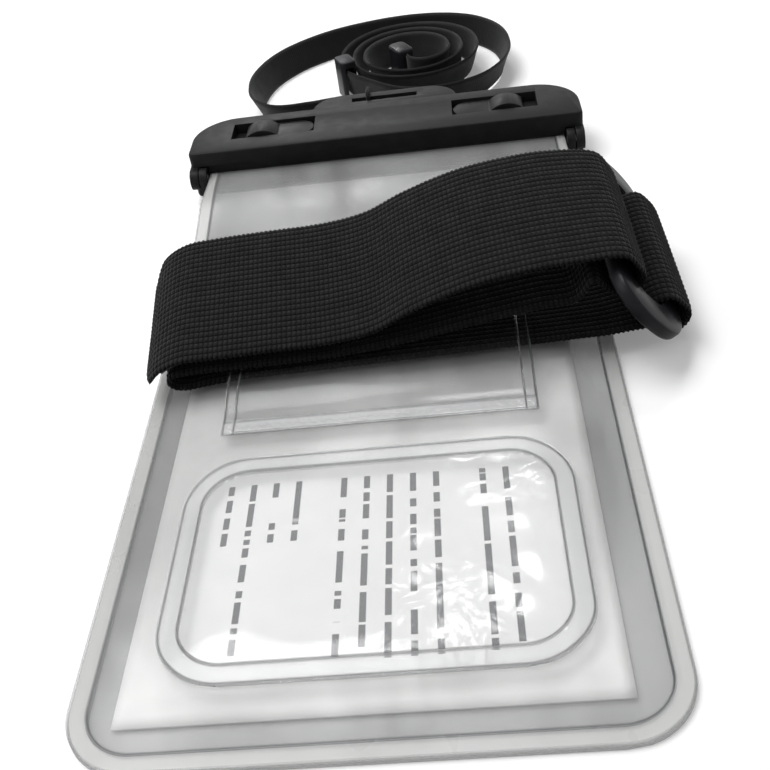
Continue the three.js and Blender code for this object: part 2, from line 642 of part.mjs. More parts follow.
// The ribbon's last stretch turns to the middle: share of the last radius, and angle past the last turn
const COIL_END = [[0.9, 0.5], [0.68, 0.95], [0.42, 1.25]];
const ribbonLead = [
  [CRIMP_X - CRIMP_LENGTH / 2 - SEAT_GAP, CRIMP_Y], [-24, 3.6], [-35, 5.6], [-42, 13.4], [-44, 26], [-40, 41],
  [-31, 53], [-17, 62], [0, 66.5], [16, 66], [29, 60], [37, 49], [39.5, 36], [37, 23], [29, 12], [17, 7.2],
  [5, 8.6],
];

function coilPoint(angle, r) {
  return new THREE.Vector3(
    COIL_CENTRE.x + r * Math.cos(angle), LUG_FAR_Y + COIL_CENTRE.y + r * Math.sin(angle), 0,
  );
}

function ribbonPoints() {
  const z = RIBBON_WIDTH / 2 + 0.1;
  const points = ribbonLead.map(([x, y]) => new THREE.Vector3(x, LUG_FAR_Y + y, z));
  const count = Math.round(COIL_TURNS * COIL_POINTS_A_TURN);
  for (let i = 0; i <= count; i += 1) {
    const turn = i / COIL_POINTS_A_TURN;
    const place = coilPoint(COIL_START - turn * 2 * Math.PI, COIL_OUTER_R - COIL_PITCH * turn);
    points.push(new THREE.Vector3(place.x, place.y, z));
  }
  const endAngle = COIL_START - COIL_TURNS * 2 * Math.PI;
  const endR = COIL_OUTER_R - COIL_PITCH * COIL_TURNS;
  for (const [share, turned] of COIL_END) {
    const place = coilPoint(endAngle - turned, endR * share);
    points.push(new THREE.Vector3(place.x, place.y, z));
  }
  return points;
}

function flatSection(height, thickness) {
  const shape = new THREE.Shape();
  shape.moveTo(-height / 2, -thickness / 2);
  shape.lineTo(height / 2, -thickness / 2);
  shape.lineTo(height / 2, thickness / 2);
  shape.lineTo(-height / 2, thickness / 2);
  shape.closePath();
  return shape;
}

function makeRibbon() {
  const curve = new THREE.CatmullRomCurve3(ribbonPoints());
  const geometry = new THREE.ExtrudeGeometry(flatSection(RIBBON_WIDTH, RIBBON_T), {
    steps: RIBBON_STEPS,
    extrudePath: curve,
    bevelEnabled: false,
  });
  addMesh("lanyard_ribbon", geometry, RIBBON);
}

function makeTether() {
  const r = TETHER_T / 2;
  const over = LUG_HEIGHT + SEAT_GAP + r + 0.2;
  const slotY = -LUG_BAR - LUG_SLOT_DEPTH / 2;
  const endX = CRIMP_X + CRIMP_LENGTH / 2 + 2 * SEAT_GAP;
  const low = r + 0.1;
  const route = [
    [endX, CRIMP_Y, 6.6], [endX + 2, CRIMP_Y - 0.6, 8.4], [TETHER_X - 0.6, 1.8, 11.4],
    [TETHER_X, 0.2, over - 0.2], [TETHER_X, -LUG_BAR / 2, over + 0.3],
    [TETHER_X, -LUG_BAR - 0.6, over - 0.2], [TETHER_X, slotY, 9.4],
    [TETHER_X, slotY, 6], [TETHER_X, slotY, 2.8], [TETHER_X, -LUG_BAR + 0.6, low], [TETHER_X, -1.2, low],
    [TETHER_X - 0.2, 1.2, 1.2], [endX + 2, CRIMP_Y - 0.6, 2.6], [endX, CRIMP_Y, 3.6],
  ];
  const section = new THREE.Shape();
  section.absarc(0, 0, r, 0, 2 * Math.PI, false);
  const geometry = new THREE.ExtrudeGeometry(section, {
    steps: TETHER_STEPS,
    curveSegments: 4,
    extrudePath: new THREE.CatmullRomCurve3(route.map(([x, y, z]) => new THREE.Vector3(x, LUG_FAR_Y + y, z))),
    bevelEnabled: false,
  });
  addMesh("lanyard_tether", geometry, RIBBON);
}

// A small upright moulding with rounded corners, standing where the ribbon runs
function fitting(length, width, height, cornerR) {
  const outline = roundedRectangle(length, width, cornerR);
  return plate(outline, height, 4, 0.5).translate(0, -width / 2, 0);
}

function makeLanyardFittings() {
  const crimp = fitting(CRIMP_LENGTH, CRIMP_WIDTH, CRIMP_HEIGHT, 0.9);
  crimp.translate(CRIMP_X, LUG_FAR_Y + CRIMP_Y, 0);
  addMesh("lanyard_crimp", crimp, STEEL);

  const gap = RIBBON_T + 2 * SEAT_GAP + 1;
  const body = toSolid(fitting(SLIDER_LENGTH, SLIDER_WIDTH, SLIDER_HEIGHT, 1.6));
  const slot = block(-SLIDER_LENGTH, SLIDER_LENGTH, -gap / 2, gap / 2, -PAST, RIBBON_WIDTH + 2 * SEAT_GAP);
  const slider = toGeometry(body.subtract(toSolid(slot)));
  const turned = COIL_START - SLIDER_TURN;
  const wound = ((turned / (2 * Math.PI)) % 1 + 1) % 1;
  const place = coilPoint(SLIDER_TURN, COIL_OUTER_R - COIL_PITCH * wound);
  slider.rotateZ(SLIDER_TURN + Math.PI / 2).translate(place.x, place.y, 0);
  addMesh("lanyard_slider", slider, GLOSS_PLASTIC);

  const points = ribbonPoints();
  const end = points[points.length - 1];
  const direction = new THREE.Vector3().subVectors(end, points[points.length - 2]).normalize();
  const clasp = fitting(CLASP_LENGTH, CLASP_WIDTH, CLASP_HEIGHT, 2);
  const reach = CLASP_LENGTH / 2 + SEAT_GAP;
  clasp.rotateZ(Math.atan2(direction.y, direction.x));
  clasp.translate(end.x + direction.x * reach, end.y + direction.y * reach, 0);
  addMesh("lanyard_clasp", clasp, GLOSS_PLASTIC);
}

makeFilms();
makeWindow();
makeSleeve();
makeInsert();
makeRearJaw();
makeFrontJaw();
makePins();
makeSeal();
makeLatches();
makeArmband();
makeRing();
makeTether();
makeRibbon();
makeLanyardFittings();

// The origin is under the middle of the pouch, without its lanyard
const CORD_NODES = ["lanyard_tether", "lanyard_ribbon", "lanyard_crimp", "lanyard_slider", "lanyard_clasp"];
model.updateMatrixWorld(true);
const body = new THREE.Box3();
for (const mesh of model.children) {
  if (!CORD_NODES.includes(mesh.name)) body.expandByObject(mesh, true);
}
const middle = body.getCenter(new THREE.Vector3());
model.position.set(-middle.x, -middle.y, -body.min.z);
model.updateMatrixWorld(true);

export default model;
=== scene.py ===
"""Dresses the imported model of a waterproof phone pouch.

The films, the armband and the lanyard are modelled here, and the clamp's mouldings get their finish.
Lengths are in metres, and the bag lies on its back with its closed end towards the camera.
"""
import json
import math

import bmesh
import bpy
from mathutils import Matrix, Vector, noise
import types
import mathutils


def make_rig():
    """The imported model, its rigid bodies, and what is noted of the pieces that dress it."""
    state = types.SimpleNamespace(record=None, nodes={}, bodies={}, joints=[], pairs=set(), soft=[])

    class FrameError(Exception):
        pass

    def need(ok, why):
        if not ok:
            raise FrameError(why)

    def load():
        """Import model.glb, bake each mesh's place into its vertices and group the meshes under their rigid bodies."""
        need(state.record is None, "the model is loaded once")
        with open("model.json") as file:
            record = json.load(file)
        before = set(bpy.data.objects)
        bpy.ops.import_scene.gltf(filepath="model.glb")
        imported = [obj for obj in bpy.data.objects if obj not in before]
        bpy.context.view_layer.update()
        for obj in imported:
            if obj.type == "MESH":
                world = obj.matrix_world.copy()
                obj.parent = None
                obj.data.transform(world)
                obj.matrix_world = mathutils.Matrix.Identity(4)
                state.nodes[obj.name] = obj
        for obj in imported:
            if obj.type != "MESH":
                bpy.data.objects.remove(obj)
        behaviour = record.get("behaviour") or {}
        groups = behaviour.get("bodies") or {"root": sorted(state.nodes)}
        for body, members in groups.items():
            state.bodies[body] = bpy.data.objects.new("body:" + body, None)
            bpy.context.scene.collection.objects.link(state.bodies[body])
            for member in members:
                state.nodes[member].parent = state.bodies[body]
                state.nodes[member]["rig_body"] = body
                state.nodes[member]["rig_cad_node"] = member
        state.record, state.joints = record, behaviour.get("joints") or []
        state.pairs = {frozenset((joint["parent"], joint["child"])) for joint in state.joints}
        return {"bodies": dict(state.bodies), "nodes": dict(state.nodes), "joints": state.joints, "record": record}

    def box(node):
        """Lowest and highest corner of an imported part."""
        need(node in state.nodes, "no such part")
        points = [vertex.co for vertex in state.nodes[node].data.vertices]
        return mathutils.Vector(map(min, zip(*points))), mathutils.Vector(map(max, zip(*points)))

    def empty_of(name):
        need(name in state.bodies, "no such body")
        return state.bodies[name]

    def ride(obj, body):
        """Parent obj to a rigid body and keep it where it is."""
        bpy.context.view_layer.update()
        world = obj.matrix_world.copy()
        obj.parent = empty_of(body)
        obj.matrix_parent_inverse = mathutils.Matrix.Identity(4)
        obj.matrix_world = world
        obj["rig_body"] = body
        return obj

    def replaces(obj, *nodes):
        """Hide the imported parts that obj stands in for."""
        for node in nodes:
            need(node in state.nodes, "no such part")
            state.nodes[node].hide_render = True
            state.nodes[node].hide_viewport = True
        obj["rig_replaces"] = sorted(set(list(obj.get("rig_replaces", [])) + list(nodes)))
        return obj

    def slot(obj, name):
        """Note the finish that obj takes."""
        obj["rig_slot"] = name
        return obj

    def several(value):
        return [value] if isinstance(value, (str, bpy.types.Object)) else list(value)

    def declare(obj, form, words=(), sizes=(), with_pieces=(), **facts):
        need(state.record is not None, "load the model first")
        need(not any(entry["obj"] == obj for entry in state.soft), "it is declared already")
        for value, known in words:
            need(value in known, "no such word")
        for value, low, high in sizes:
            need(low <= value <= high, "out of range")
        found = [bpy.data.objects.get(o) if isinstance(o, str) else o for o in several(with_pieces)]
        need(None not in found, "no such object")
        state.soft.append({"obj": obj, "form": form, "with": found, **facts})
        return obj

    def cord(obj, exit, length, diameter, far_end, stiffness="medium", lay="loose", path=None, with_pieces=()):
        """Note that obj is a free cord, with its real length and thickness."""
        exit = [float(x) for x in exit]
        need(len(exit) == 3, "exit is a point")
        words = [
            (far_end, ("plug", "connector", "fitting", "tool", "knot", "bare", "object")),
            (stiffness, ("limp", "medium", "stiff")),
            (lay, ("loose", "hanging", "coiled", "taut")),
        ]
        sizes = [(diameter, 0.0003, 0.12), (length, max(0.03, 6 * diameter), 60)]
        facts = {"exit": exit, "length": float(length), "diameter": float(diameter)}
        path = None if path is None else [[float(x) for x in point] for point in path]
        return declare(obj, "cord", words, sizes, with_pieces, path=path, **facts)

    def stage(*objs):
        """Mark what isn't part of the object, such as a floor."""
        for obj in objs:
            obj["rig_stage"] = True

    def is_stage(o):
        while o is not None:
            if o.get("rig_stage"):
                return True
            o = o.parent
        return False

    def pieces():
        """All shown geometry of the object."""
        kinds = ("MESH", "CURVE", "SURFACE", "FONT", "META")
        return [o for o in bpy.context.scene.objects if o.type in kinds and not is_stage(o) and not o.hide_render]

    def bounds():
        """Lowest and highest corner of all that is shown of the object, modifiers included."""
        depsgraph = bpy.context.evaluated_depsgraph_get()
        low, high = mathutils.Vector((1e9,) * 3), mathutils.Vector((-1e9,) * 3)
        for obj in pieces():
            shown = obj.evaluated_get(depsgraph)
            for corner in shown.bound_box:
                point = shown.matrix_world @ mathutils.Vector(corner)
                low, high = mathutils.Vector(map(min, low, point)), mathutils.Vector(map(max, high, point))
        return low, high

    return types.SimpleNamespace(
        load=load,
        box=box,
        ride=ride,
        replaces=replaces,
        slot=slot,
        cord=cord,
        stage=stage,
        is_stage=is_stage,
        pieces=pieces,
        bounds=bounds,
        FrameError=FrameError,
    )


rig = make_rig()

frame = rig.load()
cad_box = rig.bounds()

bl_info = {
    "name": "Waterproof phone pouch",
    "version": (1, 0, 0),
    "blender": (4, 5, 0),
    "location": "View3D > Sidebar > Phone pouch",
    "description": "Makes the films, clamp bar, armband and lanyard of a phone pouch around its frame",
    "category": "Object",
}

MM = 0.001
BODY = "pouch"

FILM_LOW, FILM_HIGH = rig.box("lower_film")
WINDOW_LOW, WINDOW_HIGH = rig.box("window_film")
SLEEVE_LOW, SLEEVE_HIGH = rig.box("armband_sleeve")
INSERT_LOW, INSERT_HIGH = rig.box("paper_insert")
REAR_LOW, REAR_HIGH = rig.box("clamp_rear_jaw")

# Middle of the bag, and its closed end
BAG_X = (FILM_LOW[0] + FILM_HIGH[0]) / 2
BAG_Y = FILM_LOW[1]
LUG_FAR_Y = REAR_HIGH[1]

# Gap between pieces that lie on each other, as in the frame
SEAT_GAP = 0.3 * MM

# Length next to the clamp in which the upper film lies flat
MOUTH_FLAT = 2 * MM

# Thickness of the window, the sleeve and the insert
THIN_SHEET = 0.4 * MM

# Distance of two printed lines on the insert
PRINT_PITCH = 4.6 * MM

# Edges of a moulding that are sharper than this are rounded
ROUNDED_ANGLE = math.radians(32)

HALF = 0.5

# Second tones of the finishes
# Dark tones of the two films' slow blotches: partly the film's own haze, partly painted shade of its folds
FILM_CLOUD_AND_FOLD_SHADE = (0.36, 0.365, 0.36, 1.0)
BACK_FILM_CLOUD_AND_FOLD_SHADE = (0.16, 0.165, 0.16, 1.0)
RIM_TONE = (0.70, 0.705, 0.685, 1.0)
SLEEVE_SHADE = (0.07, 0.07, 0.075, 1.0)
PAPER_SHADE = (0.85, 0.85, 0.845, 1.0)
CLAMP_RUBBED = (0.0115, 0.0115, 0.012, 1.0)
LATCH_TONE = (0.0105, 0.0105, 0.011, 1.0)
LATCH_RUBBED = (0.015, 0.015, 0.0155, 1.0)
RING_RUBBED = (0.012, 0.012, 0.014, 1.0)
WEBBING_LIT = (0.0155, 0.0155, 0.0158, 1.0)
WEBBING_SHADE = (0.006, 0.006, 0.0062, 1.0)
HOOK_GROUND = (0.006, 0.006, 0.006, 1.0)
HOOK_TIP = (0.03, 0.03, 0.03, 1.0)
RIBBON_LIT = (0.0085, 0.0085, 0.0088, 1.0)
SELVEDGE = (0.005, 0.005, 0.005, 1.0)
RUBBER_RUBBED = (0.36, 0.37, 0.38, 1.0)
STEEL_SHADE = (0.45, 0.46, 0.48, 1.0)


def length_property(name, description, default):
    """A length in metres with its unit."""
    return bpy.props.FloatProperty(
        name=name, description=description, default=default, precision=5, subtype="DISTANCE", unit="LENGTH"
    )


def colour_property(name, description, default):
    """A linear colour with a swatch."""
    return bpy.props.FloatVectorProperty(
        name=name, description=description, default=default, size=3, min=0, max=1, subtype="COLOR"
    )


class PouchSizes(bpy.types.PropertyGroup):
    """Sizes of the films, the armband and the lanyard."""

    bag_width: length_property("Bag width", "Width of the welded bag", FILM_HIGH[0] - FILM_LOW[0])
    bag_length: length_property("Bag length", "From the closed end to the clamp bar", REAR_LOW[1] - BAG_Y)
    bag_corner: length_property("Bag corner radius", "Outer radius of the closed end's corners", 13 * MM)
    film_thickness: length_property("Film thickness", "Thickness of one film of the bag", 0.5 * MM)
    rim_width: length_property("Rim width", "Width of the flat weld rim", 3.5 * MM)
    puff: length_property("Puff", "How far the upper film stands over its rim", 3.6 * MM)
    puff_run: length_property("Puff run", "Distance from the rim in which the film rises", 20 * MM)
    neck_rise_run: length_property("Neck run", "Length in which the bag rises into the clamp", 45 * MM)
    mouth_fade: length_property("Mouth fade", "Length in which the puff fades out at the clamp", 26 * MM)
    mouth_height: length_property("Mouth height", "Height of the lower film in the clamp", 5.9 * MM)
    neck_width: length_property("Neck width", "Width of the bag between the clamp's ears", 103 * MM)
    neck_taper: length_property("Neck taper", "Length in which the bag narrows to its neck", 14 * MM)
    mouth_tuck: length_property("Mouth tuck", "Length of film held in the clamp", 9 * MM)
    wrinkle: length_property("Wrinkle depth", "Depth of the soft wrinkles in the films", 0.55 * MM)
    window_corner: length_property("Window corner radius", "Outer radius of the window's corners", 13 * MM)
    window_weld: length_property("Window weld", "Width of the window's double weld line", 4 * MM)
    sleeve_weld: length_property("Sleeve weld", "Width of the sleeve's welded ends", 4 * MM)
    band_width: length_property("Armband width", "Width of the elastic webbing", 38 * MM)
    band_thickness: length_property("Armband thickness", "Thickness of the elastic webbing", 1.6 * MM)
    band_corner: length_property("Armband corner", "Radius of the free end's corners", 5 * MM)
    knit_along: length_property("Knit pitch along", "Distance of two nubs along the webbing", 1.1 * MM)
    knit_across: length_property("Knit pitch across", "Distance of two nubs across the webbing", 1.58 * MM)
    knit_depth: length_property("Knit depth", "Height of a nub over its groove", 0.22 * MM)
    patch_width: length_property("Hook patch width", "Width of the hook tape under the free end", 35 * MM)
    patch_thickness: length_property("Hook patch thickness", "Thickness of the hook tape", 0.9 * MM)
    ribbon_width: length_property("Ribbon width", "Width of the lanyard's ribbon", 10 * MM)
    ribbon_thickness: length_property("Ribbon thickness", "Thickness of the lanyard's ribbon", 1.1 * MM)
    tether_thickness: length_property("Tether thickness", "Diameter of the cord through the lug", 1.4 * MM)


class PouchColours(bpy.types.PropertyGroup):
    """Colours of the pouch's finishes."""

    film: colour_property("Film", "Frosted film over the insert", (0.80, 0.805, 0.81))
    back_film: colour_property("Back film", "Frosted film under the insert", (0.38, 0.385, 0.39))
    clear: colour_property("Clear film", "Window film", (0.70, 0.71, 0.72))
    seam: colour_property("Weld line", "Pressed line of a weld", (0.13, 0.135, 0.14))
    paper: colour_property("Paper", "Insert", (0.90, 0.90, 0.89))
    ink: colour_property("Ink", "Plain bars on the insert", (0.035, 0.035, 0.04))
    clamp: colour_property("Clamp", "Clamp bar and latches", (0.0085, 0.0085, 0.009))
    ring: colour_property("Ring", "Slider ring", (0.009, 0.009, 0.011))
    webbing: colour_property("Webbing", "Elastic armband", (0.009, 0.009, 0.0092))
    # The webbing's groove colour is painted shade in the recesses between the nubs
    groove: colour_property("Webbing groove", "Grooves between the nubs", (0.0012, 0.0012, 0.0013))
    ribbon: colour_property("Ribbon", "Lanyard", (0.0065, 0.0065, 0.0067))
    rubber: colour_property("Rubber", "Seal strip", (0.30, 0.31, 0.32))
    steel: colour_property("Steel", "Pins and crimp", (0.56, 0.57, 0.59))


def sizes():
    """The sizes that the panel shows."""
    return bpy.context.scene.pouch_sizes


def colour(name):
    """One of the panel's colours, with full alpha."""
    return (*getattr(bpy.context.scene.pouch_colours, name), 1.0)


# Curves

def smoothstep(t):
    """0 below 0, 1 above 1, and smooth between them."""
    c = min(max(t, 0.0), 1.0)
    return c * c * (3 - 2 * c)


def mix(a, b, share):
    """The number at that share of the way from a to b."""
    return a + (b - a) * share


def curve_point(points, share):
    """A point of the smooth curve through points: share runs evenly over its spans."""
    spans = len(points) - 1
    where = min(max(share, 0.0), 1.0) * spans
    i = min(int(where), spans - 1)
    w = where - i
    p1, p2 = points[i], points[i + 1]
    p0 = points[i - 1] if i > 0 else 2 * p1 - p2
    p3 = points[i + 2] if i + 2 <= spans else 2 * p2 - p1
    d0, d1, d2 = (math.sqrt((b - a).length) for a, b in ((p0, p1), (p1, p2), (p2, p3)))
    start = ((p1 - p0) / d0 - (p2 - p0) / (d0 + d1) + (p2 - p1) / d1) * d1
    end = ((p2 - p1) / d1 - (p3 - p1) / (d1 + d2) + (p3 - p2) / d2) * d1
    square = 3 * (p2 - p1) - 2 * start - end
    cube = 2 * (p1 - p2) + start + end
    return p1 + start * w + square * w ** 2 + cube * w ** 3


def even_shares(points, count, fine=20):
    """count + 1 shares of the curve through points that lie evenly along its length, and that length."""
    steps = (len(points) - 1) * fine
    places = [curve_point(points, i / steps) for i in range(steps + 1)]
    run = [0.0]
    for a, b in zip(places, places[1:]):
        run.append(run[-1] + (b - a).length)
    shares = []
    i = 0
    for k in range(count + 1):
        target = run[-1] * k / count
        while i < steps - 1 and run[i + 1] < target:
            i += 1
        shares.append((i + (target - run[i]) / (run[i + 1] - run[i])) / steps)
    return shares, run[-1]


# Meshes

def finish_mesh(bm, name, material, slot, body, nodes):
    """Turns a bmesh into a piece that rides on a body and stands for nodes."""
    for face in bm.faces:
        face.smooth = True
    mesh = bpy.data.meshes.new(name)
    bm.to_mesh(mesh)
    bm.free()
    mesh.materials.append(material)
    piece = bpy.data.objects.new(name, mesh)
    bpy.context.scene.collection.objects.link(piece)
    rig.ride(piece, body)
    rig.slot(piece, slot)
    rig.replaces(piece, *nodes)
    return piece


def grid(columns, rows):
    """A flat grid whose vertices hold their column and row as whole numbers."""
    bm = bmesh.new()
    bmesh.ops.create_grid(bm, x_segments=columns, y_segments=rows, size=1)
    bmesh.ops.transform(bm, matrix=Matrix.Translation((1, 1, 0)), verts=bm.verts)
    bmesh.ops.scale(bm, vec=(columns / 2, rows / 2, 1), verts=bm.verts)
    return bm


def closed_strip(around, rows, place):
    """A strip with two faces and closed ends. place(column, row) gives a point and the value of its mask."""
    bm = grid(around, rows)
    value = bm.verts.layers.float.new("relief")
    along = bm.loops.layers.uv.new("along")
    for face in bm.faces:
        for loop in face.loops:
            loop[along].uv = (loop.vert.co.x / around, loop.vert.co.y / rows)
    for vert in bm.verts:
        vert.co, vert[value] = place(round(vert.co.x) % around, round(vert.co.y))
    bmesh.ops.remove_doubles(bm, verts=bm.verts, dist=1e-7)
    bmesh.ops.holes_fill(bm, edges=[edge for edge in bm.edges if edge.is_boundary], sides=0)
    bmesh.ops.recalc_face_normals(bm, faces=bm.faces)
    return bm


def film_sheet(columns, rows, place, thickness, keep=None):
    """A thin film: place(u, v) gives its lower face, u and v from 0 to 1, and keep picks its faces."""
    bm = grid(columns, rows)
    for vert in bm.verts:
        vert.co = place(vert.co.x / columns, vert.co.y / rows)
    if keep:
        lost = [face for face in bm.faces if not keep(face.calc_center_median())]
        bmesh.ops.delete(bm, geom=lost, context="FACES")
    sheet = list(bm.faces)
    raised = bmesh.ops.extrude_face_region(bm, geom=sheet)
    upper = [item for item in raised["geom"] if isinstance(item, bmesh.types.BMVert)]
    bmesh.ops.translate(bm, vec=(0, 0, thickness), verts=upper)
    bmesh.ops.recalc_face_normals(bm, faces=bm.faces)
    return bm


def dressed_copy(name, material, slot, body, bevel=0.25 * MM, segments=2):
    """A copy of a rigid moulding with clean faces and softly rounded edges."""
    bm = bmesh.new()
    bm.from_mesh(frame["nodes"][name].data)
    bmesh.ops.remove_doubles(bm, verts=bm.verts, dist=2e-6)
    bmesh.ops.dissolve_limit(bm, angle_limit=math.radians(0.6), verts=bm.verts, edges=bm.edges)
    piece = finish_mesh(bm, f"{name}_moulding", material, slot, body, [name])
    rounding = piece.modifiers.new("Rounded edges", "BEVEL")
    rounding.width = bevel
    rounding.segments = segments
    rounding.limit_method = "ANGLE"
    rounding.angle_limit = ROUNDED_ANGLE
    rounding.harden_normals = True
    return piece


def paint_node(name, material):
    """Gives a carried-over node its finish."""
    carried = frame["nodes"][name]
    carried.data.materials.clear()
    carried.data.materials.append(material)
    return carried


# Shader nodes

def node(tree, kind, inputs=None, **settings):
    """Adds a node: each input is a value or a socket to link from."""
    made = tree.nodes.new(kind)
    for key, value in settings.items():
        setattr(made, key, value)
    for key, value in (inputs or {}).items():
        if isinstance(value, bpy.types.NodeSocket):
            tree.links.new(value, made.inputs[key])
        else:
            made.inputs[key].default_value = value
    return made


def maths(tree, operation, *values):
    """The output of a Math node."""
    return node(tree, "ShaderNodeMath", dict(enumerate(values)), operation=operation).outputs[0]


def vector_maths(tree, operation, *values, output="Vector"):
    """The output of a Vector Math node."""
    return node(tree, "ShaderNodeVectorMath", dict(enumerate(values)), operation=operation).outputs[output]


def noise_value(tree, vector, scale, detail=3.0, roughness=0.55, distortion=0.0):
    """The value of a noise texture."""
    return node(tree, "ShaderNodeTexNoise", {
        "Vector": vector, "Scale": scale, "Detail": detail, "Roughness": roughness, "Distortion": distortion,
    }).outputs["Fac"]


def remap(tree, value, low, high, to_low=0.0, to_high=1.0):
    """A value mapped from one range to another and held in it."""
    inputs = {"Value": value, "From Min": low, "From Max": high, "To Min": to_low, "To Max": to_high}
    return node(tree, "ShaderNodeMapRange", inputs, clamp=True).outputs["Result"]


def colour_mix(tree, factor, a, b):
    """A colour between a and b."""
    made = node(tree, "ShaderNodeMix", data_type="RGBA")
    for socket, value in ((made.inputs["Factor"], factor), (made.inputs[6], a), (made.inputs[7], b)):
        if isinstance(value, bpy.types.NodeSocket):
            tree.links.new(value, socket)
        else:
            socket.default_value = value
    return made.outputs[2]


def object_place(tree):
    """The Object coordinates, which are metres in the pouch's frame."""
    return node(tree, "ShaderNodeTexCoord").outputs["Object"]


def bump(tree, height, distance, strength):
    """The normal that a height gives."""
    inputs = {"Height": height, "Distance": distance, "Strength": strength}
    return node(tree, "ShaderNodeBump", inputs).outputs["Normal"]


def group(name, inputs, outputs, build):
    """A shader node group with named sockets, built once."""
    if name in bpy.data.node_groups:
        return bpy.data.node_groups[name]
    tree = bpy.data.node_groups.new(name, "ShaderNodeTree")
    for label, kind, default in inputs:
        socket = tree.interface.new_socket(label, in_out="INPUT", socket_type=kind)
        if default is not None:
            socket.default_value = default
    for label, kind in outputs:
        tree.interface.new_socket(label, in_out="OUTPUT", socket_type=kind)
    given = tree.nodes.new("NodeGroupInput").outputs
    results = build(tree, given)
    tree.nodes.new("NodeGroupOutput")
    for label, socket in results.items():
        tree.links.new(socket, tree.nodes["Group Output"].inputs[label])
    return tree


def build_outline_distance(tree, given):
    """How far inside a rounded outline a place lies, seen from above."""
    from_middle = vector_maths(tree, "SUBTRACT", given["Vector"], given["Centre"])
    split = node(tree, "ShaderNodeSeparateXYZ", {0: vector_maths(tree, "ABSOLUTE", from_middle)})
    half = node(tree, "ShaderNodeSeparateXYZ", {0: given["Half size"]})
    past = []
    for axis in ("X", "Y"):
        reach = maths(tree, "SUBTRACT", half.outputs[axis], given["Radius"])
        past.append(maths(tree, "SUBTRACT", split.outputs[axis], reach))
    corner = maths(tree, "SQRT", maths(
        tree, "ADD",
        maths(tree, "POWER", maths(tree, "MAXIMUM", past[0], 0.0), 2.0),
        maths(tree, "POWER", maths(tree, "MAXIMUM", past[1], 0.0), 2.0),
    ))
    straight = maths(tree, "MINIMUM", maths(tree, "MAXIMUM", past[0], past[1]), 0.0)
    outside = maths(tree, "SUBTRACT", maths(tree, "ADD", corner, straight), given["Radius"])
    return {"Inside": maths(tree, "MULTIPLY", outside, -1.0)}


def outline_distance(tree, vector, centre, half_size, radius):
    """Distance inside a rounded outline, in metres."""
    made = node(tree, "ShaderNodeGroup", node_tree=group(
        "Distance inside an outline",
        [("Vector", "NodeSocketVector", None), ("Centre", "NodeSocketVector", None),
         ("Half size", "NodeSocketVector", None), ("Radius", "NodeSocketFloat", 0.01)],
        [("Inside", "NodeSocketFloat")],
        build_outline_distance,
    ))
    tree.links.new(vector, made.inputs["Vector"])
    made.inputs["Centre"].default_value = (*centre, 0)
    made.inputs["Half size"].default_value = (*half_size, 0)
    made.inputs["Radius"].default_value = radius
    return made.outputs["Inside"]


def build_pressed_line(tree, given):
    """A line pressed at one distance: 1 on the line, 0 away from it."""
    away = maths(tree, "ABSOLUTE", maths(tree, "SUBTRACT", given["Distance"], given["At"]))
    inputs = {"Value": away, "From Min": 0.0, "From Max": given["Width"], "To Min": 1.0, "To Max": 0.0}
    line = node(tree, "ShaderNodeMapRange", inputs, interpolation_type="SMOOTHSTEP")
    return {"Line": line.outputs["Result"]}


def pressed_line(tree, distance, at, width):
    """Mask of a thin line where distance is at."""
    made = node(tree, "ShaderNodeGroup", node_tree=group(
        "Pressed line",
        [("Distance", "NodeSocketFloat", 0.0), ("At", "NodeSocketFloat", 0.0),
         ("Width", "NodeSocketFloat", 0.0005)],
        [("Line", "NodeSocketFloat")],
        build_pressed_line,
    ))
    tree.links.new(distance, made.inputs["Distance"])
    made.inputs["At"].default_value = at
    made.inputs["Width"].default_value = width
    return made.outputs["Line"]


def build_grain(tree, given):
    """Fine grain with slow patches, as a height and as a tone."""
    fine = noise_value(tree, given["Vector"], given["Scale"], roughness=0.6)
    slow_scale = maths(tree, "MULTIPLY", given["Scale"], 0.06)
    slow = noise_value(tree, given["Vector"], slow_scale, detail=2.0, roughness=0.5)
    return {"Height": fine, "Patches": slow}


def grain(tree, vector, scale):
    """Height and patches of a surface's grain."""
    made = node(tree, "ShaderNodeGroup", node_tree=group(
        "Surface grain",
        [("Vector", "NodeSocketVector", None), ("Scale", "NodeSocketFloat", 2000.0)],
        [("Height", "NodeSocketFloat"), ("Patches", "NodeSocketFloat")],
        build_grain,
    ))
    tree.links.new(vector, made.inputs["Vector"])
    made.inputs["Scale"].default_value = scale
    return made.outputs["Height"], made.outputs["Patches"]


def material_of(name, build):
    """A finish by name, built once by build(tree, shader)."""
    finish = f"{name}_finish"
    if finish in bpy.data.materials:
        return bpy.data.materials[finish]
    material = bpy.data.materials.new(finish)
    material.use_nodes = True
    tree = material.node_tree
    build(tree, tree.nodes["Principled BSDF"])
    return material


def feed(tree, shader, **sockets):
    """Links or sets the shader's sockets: Base_Color stands for Base Color."""
    for key, value in sockets.items():
        target = shader.inputs[key.replace("_", " ")]
        if isinstance(value, bpy.types.NodeSocket):
            tree.links.new(value, target)
        else:
            target.default_value = value


def bag_rim_distance(tree, place):
    """Distance inside the bag's outer edge: the outline runs on past the clamp."""
    size = sizes()
    length = size.bag_length + size.neck_rise_run
    centre = (BAG_X, BAG_Y + length / 2)
    return outline_distance(tree, place, centre, (size.bag_width / 2, length / 2), size.bag_corner)


def middle_and_half(low, high):
    """Middle and half size of a box, seen from above."""
    middle = ((low[0] + high[0]) / 2, (low[1] + high[1]) / 2)
    half = ((high[0] - low[0]) / 2, (high[1] - low[1]) / 2)
    return middle, half


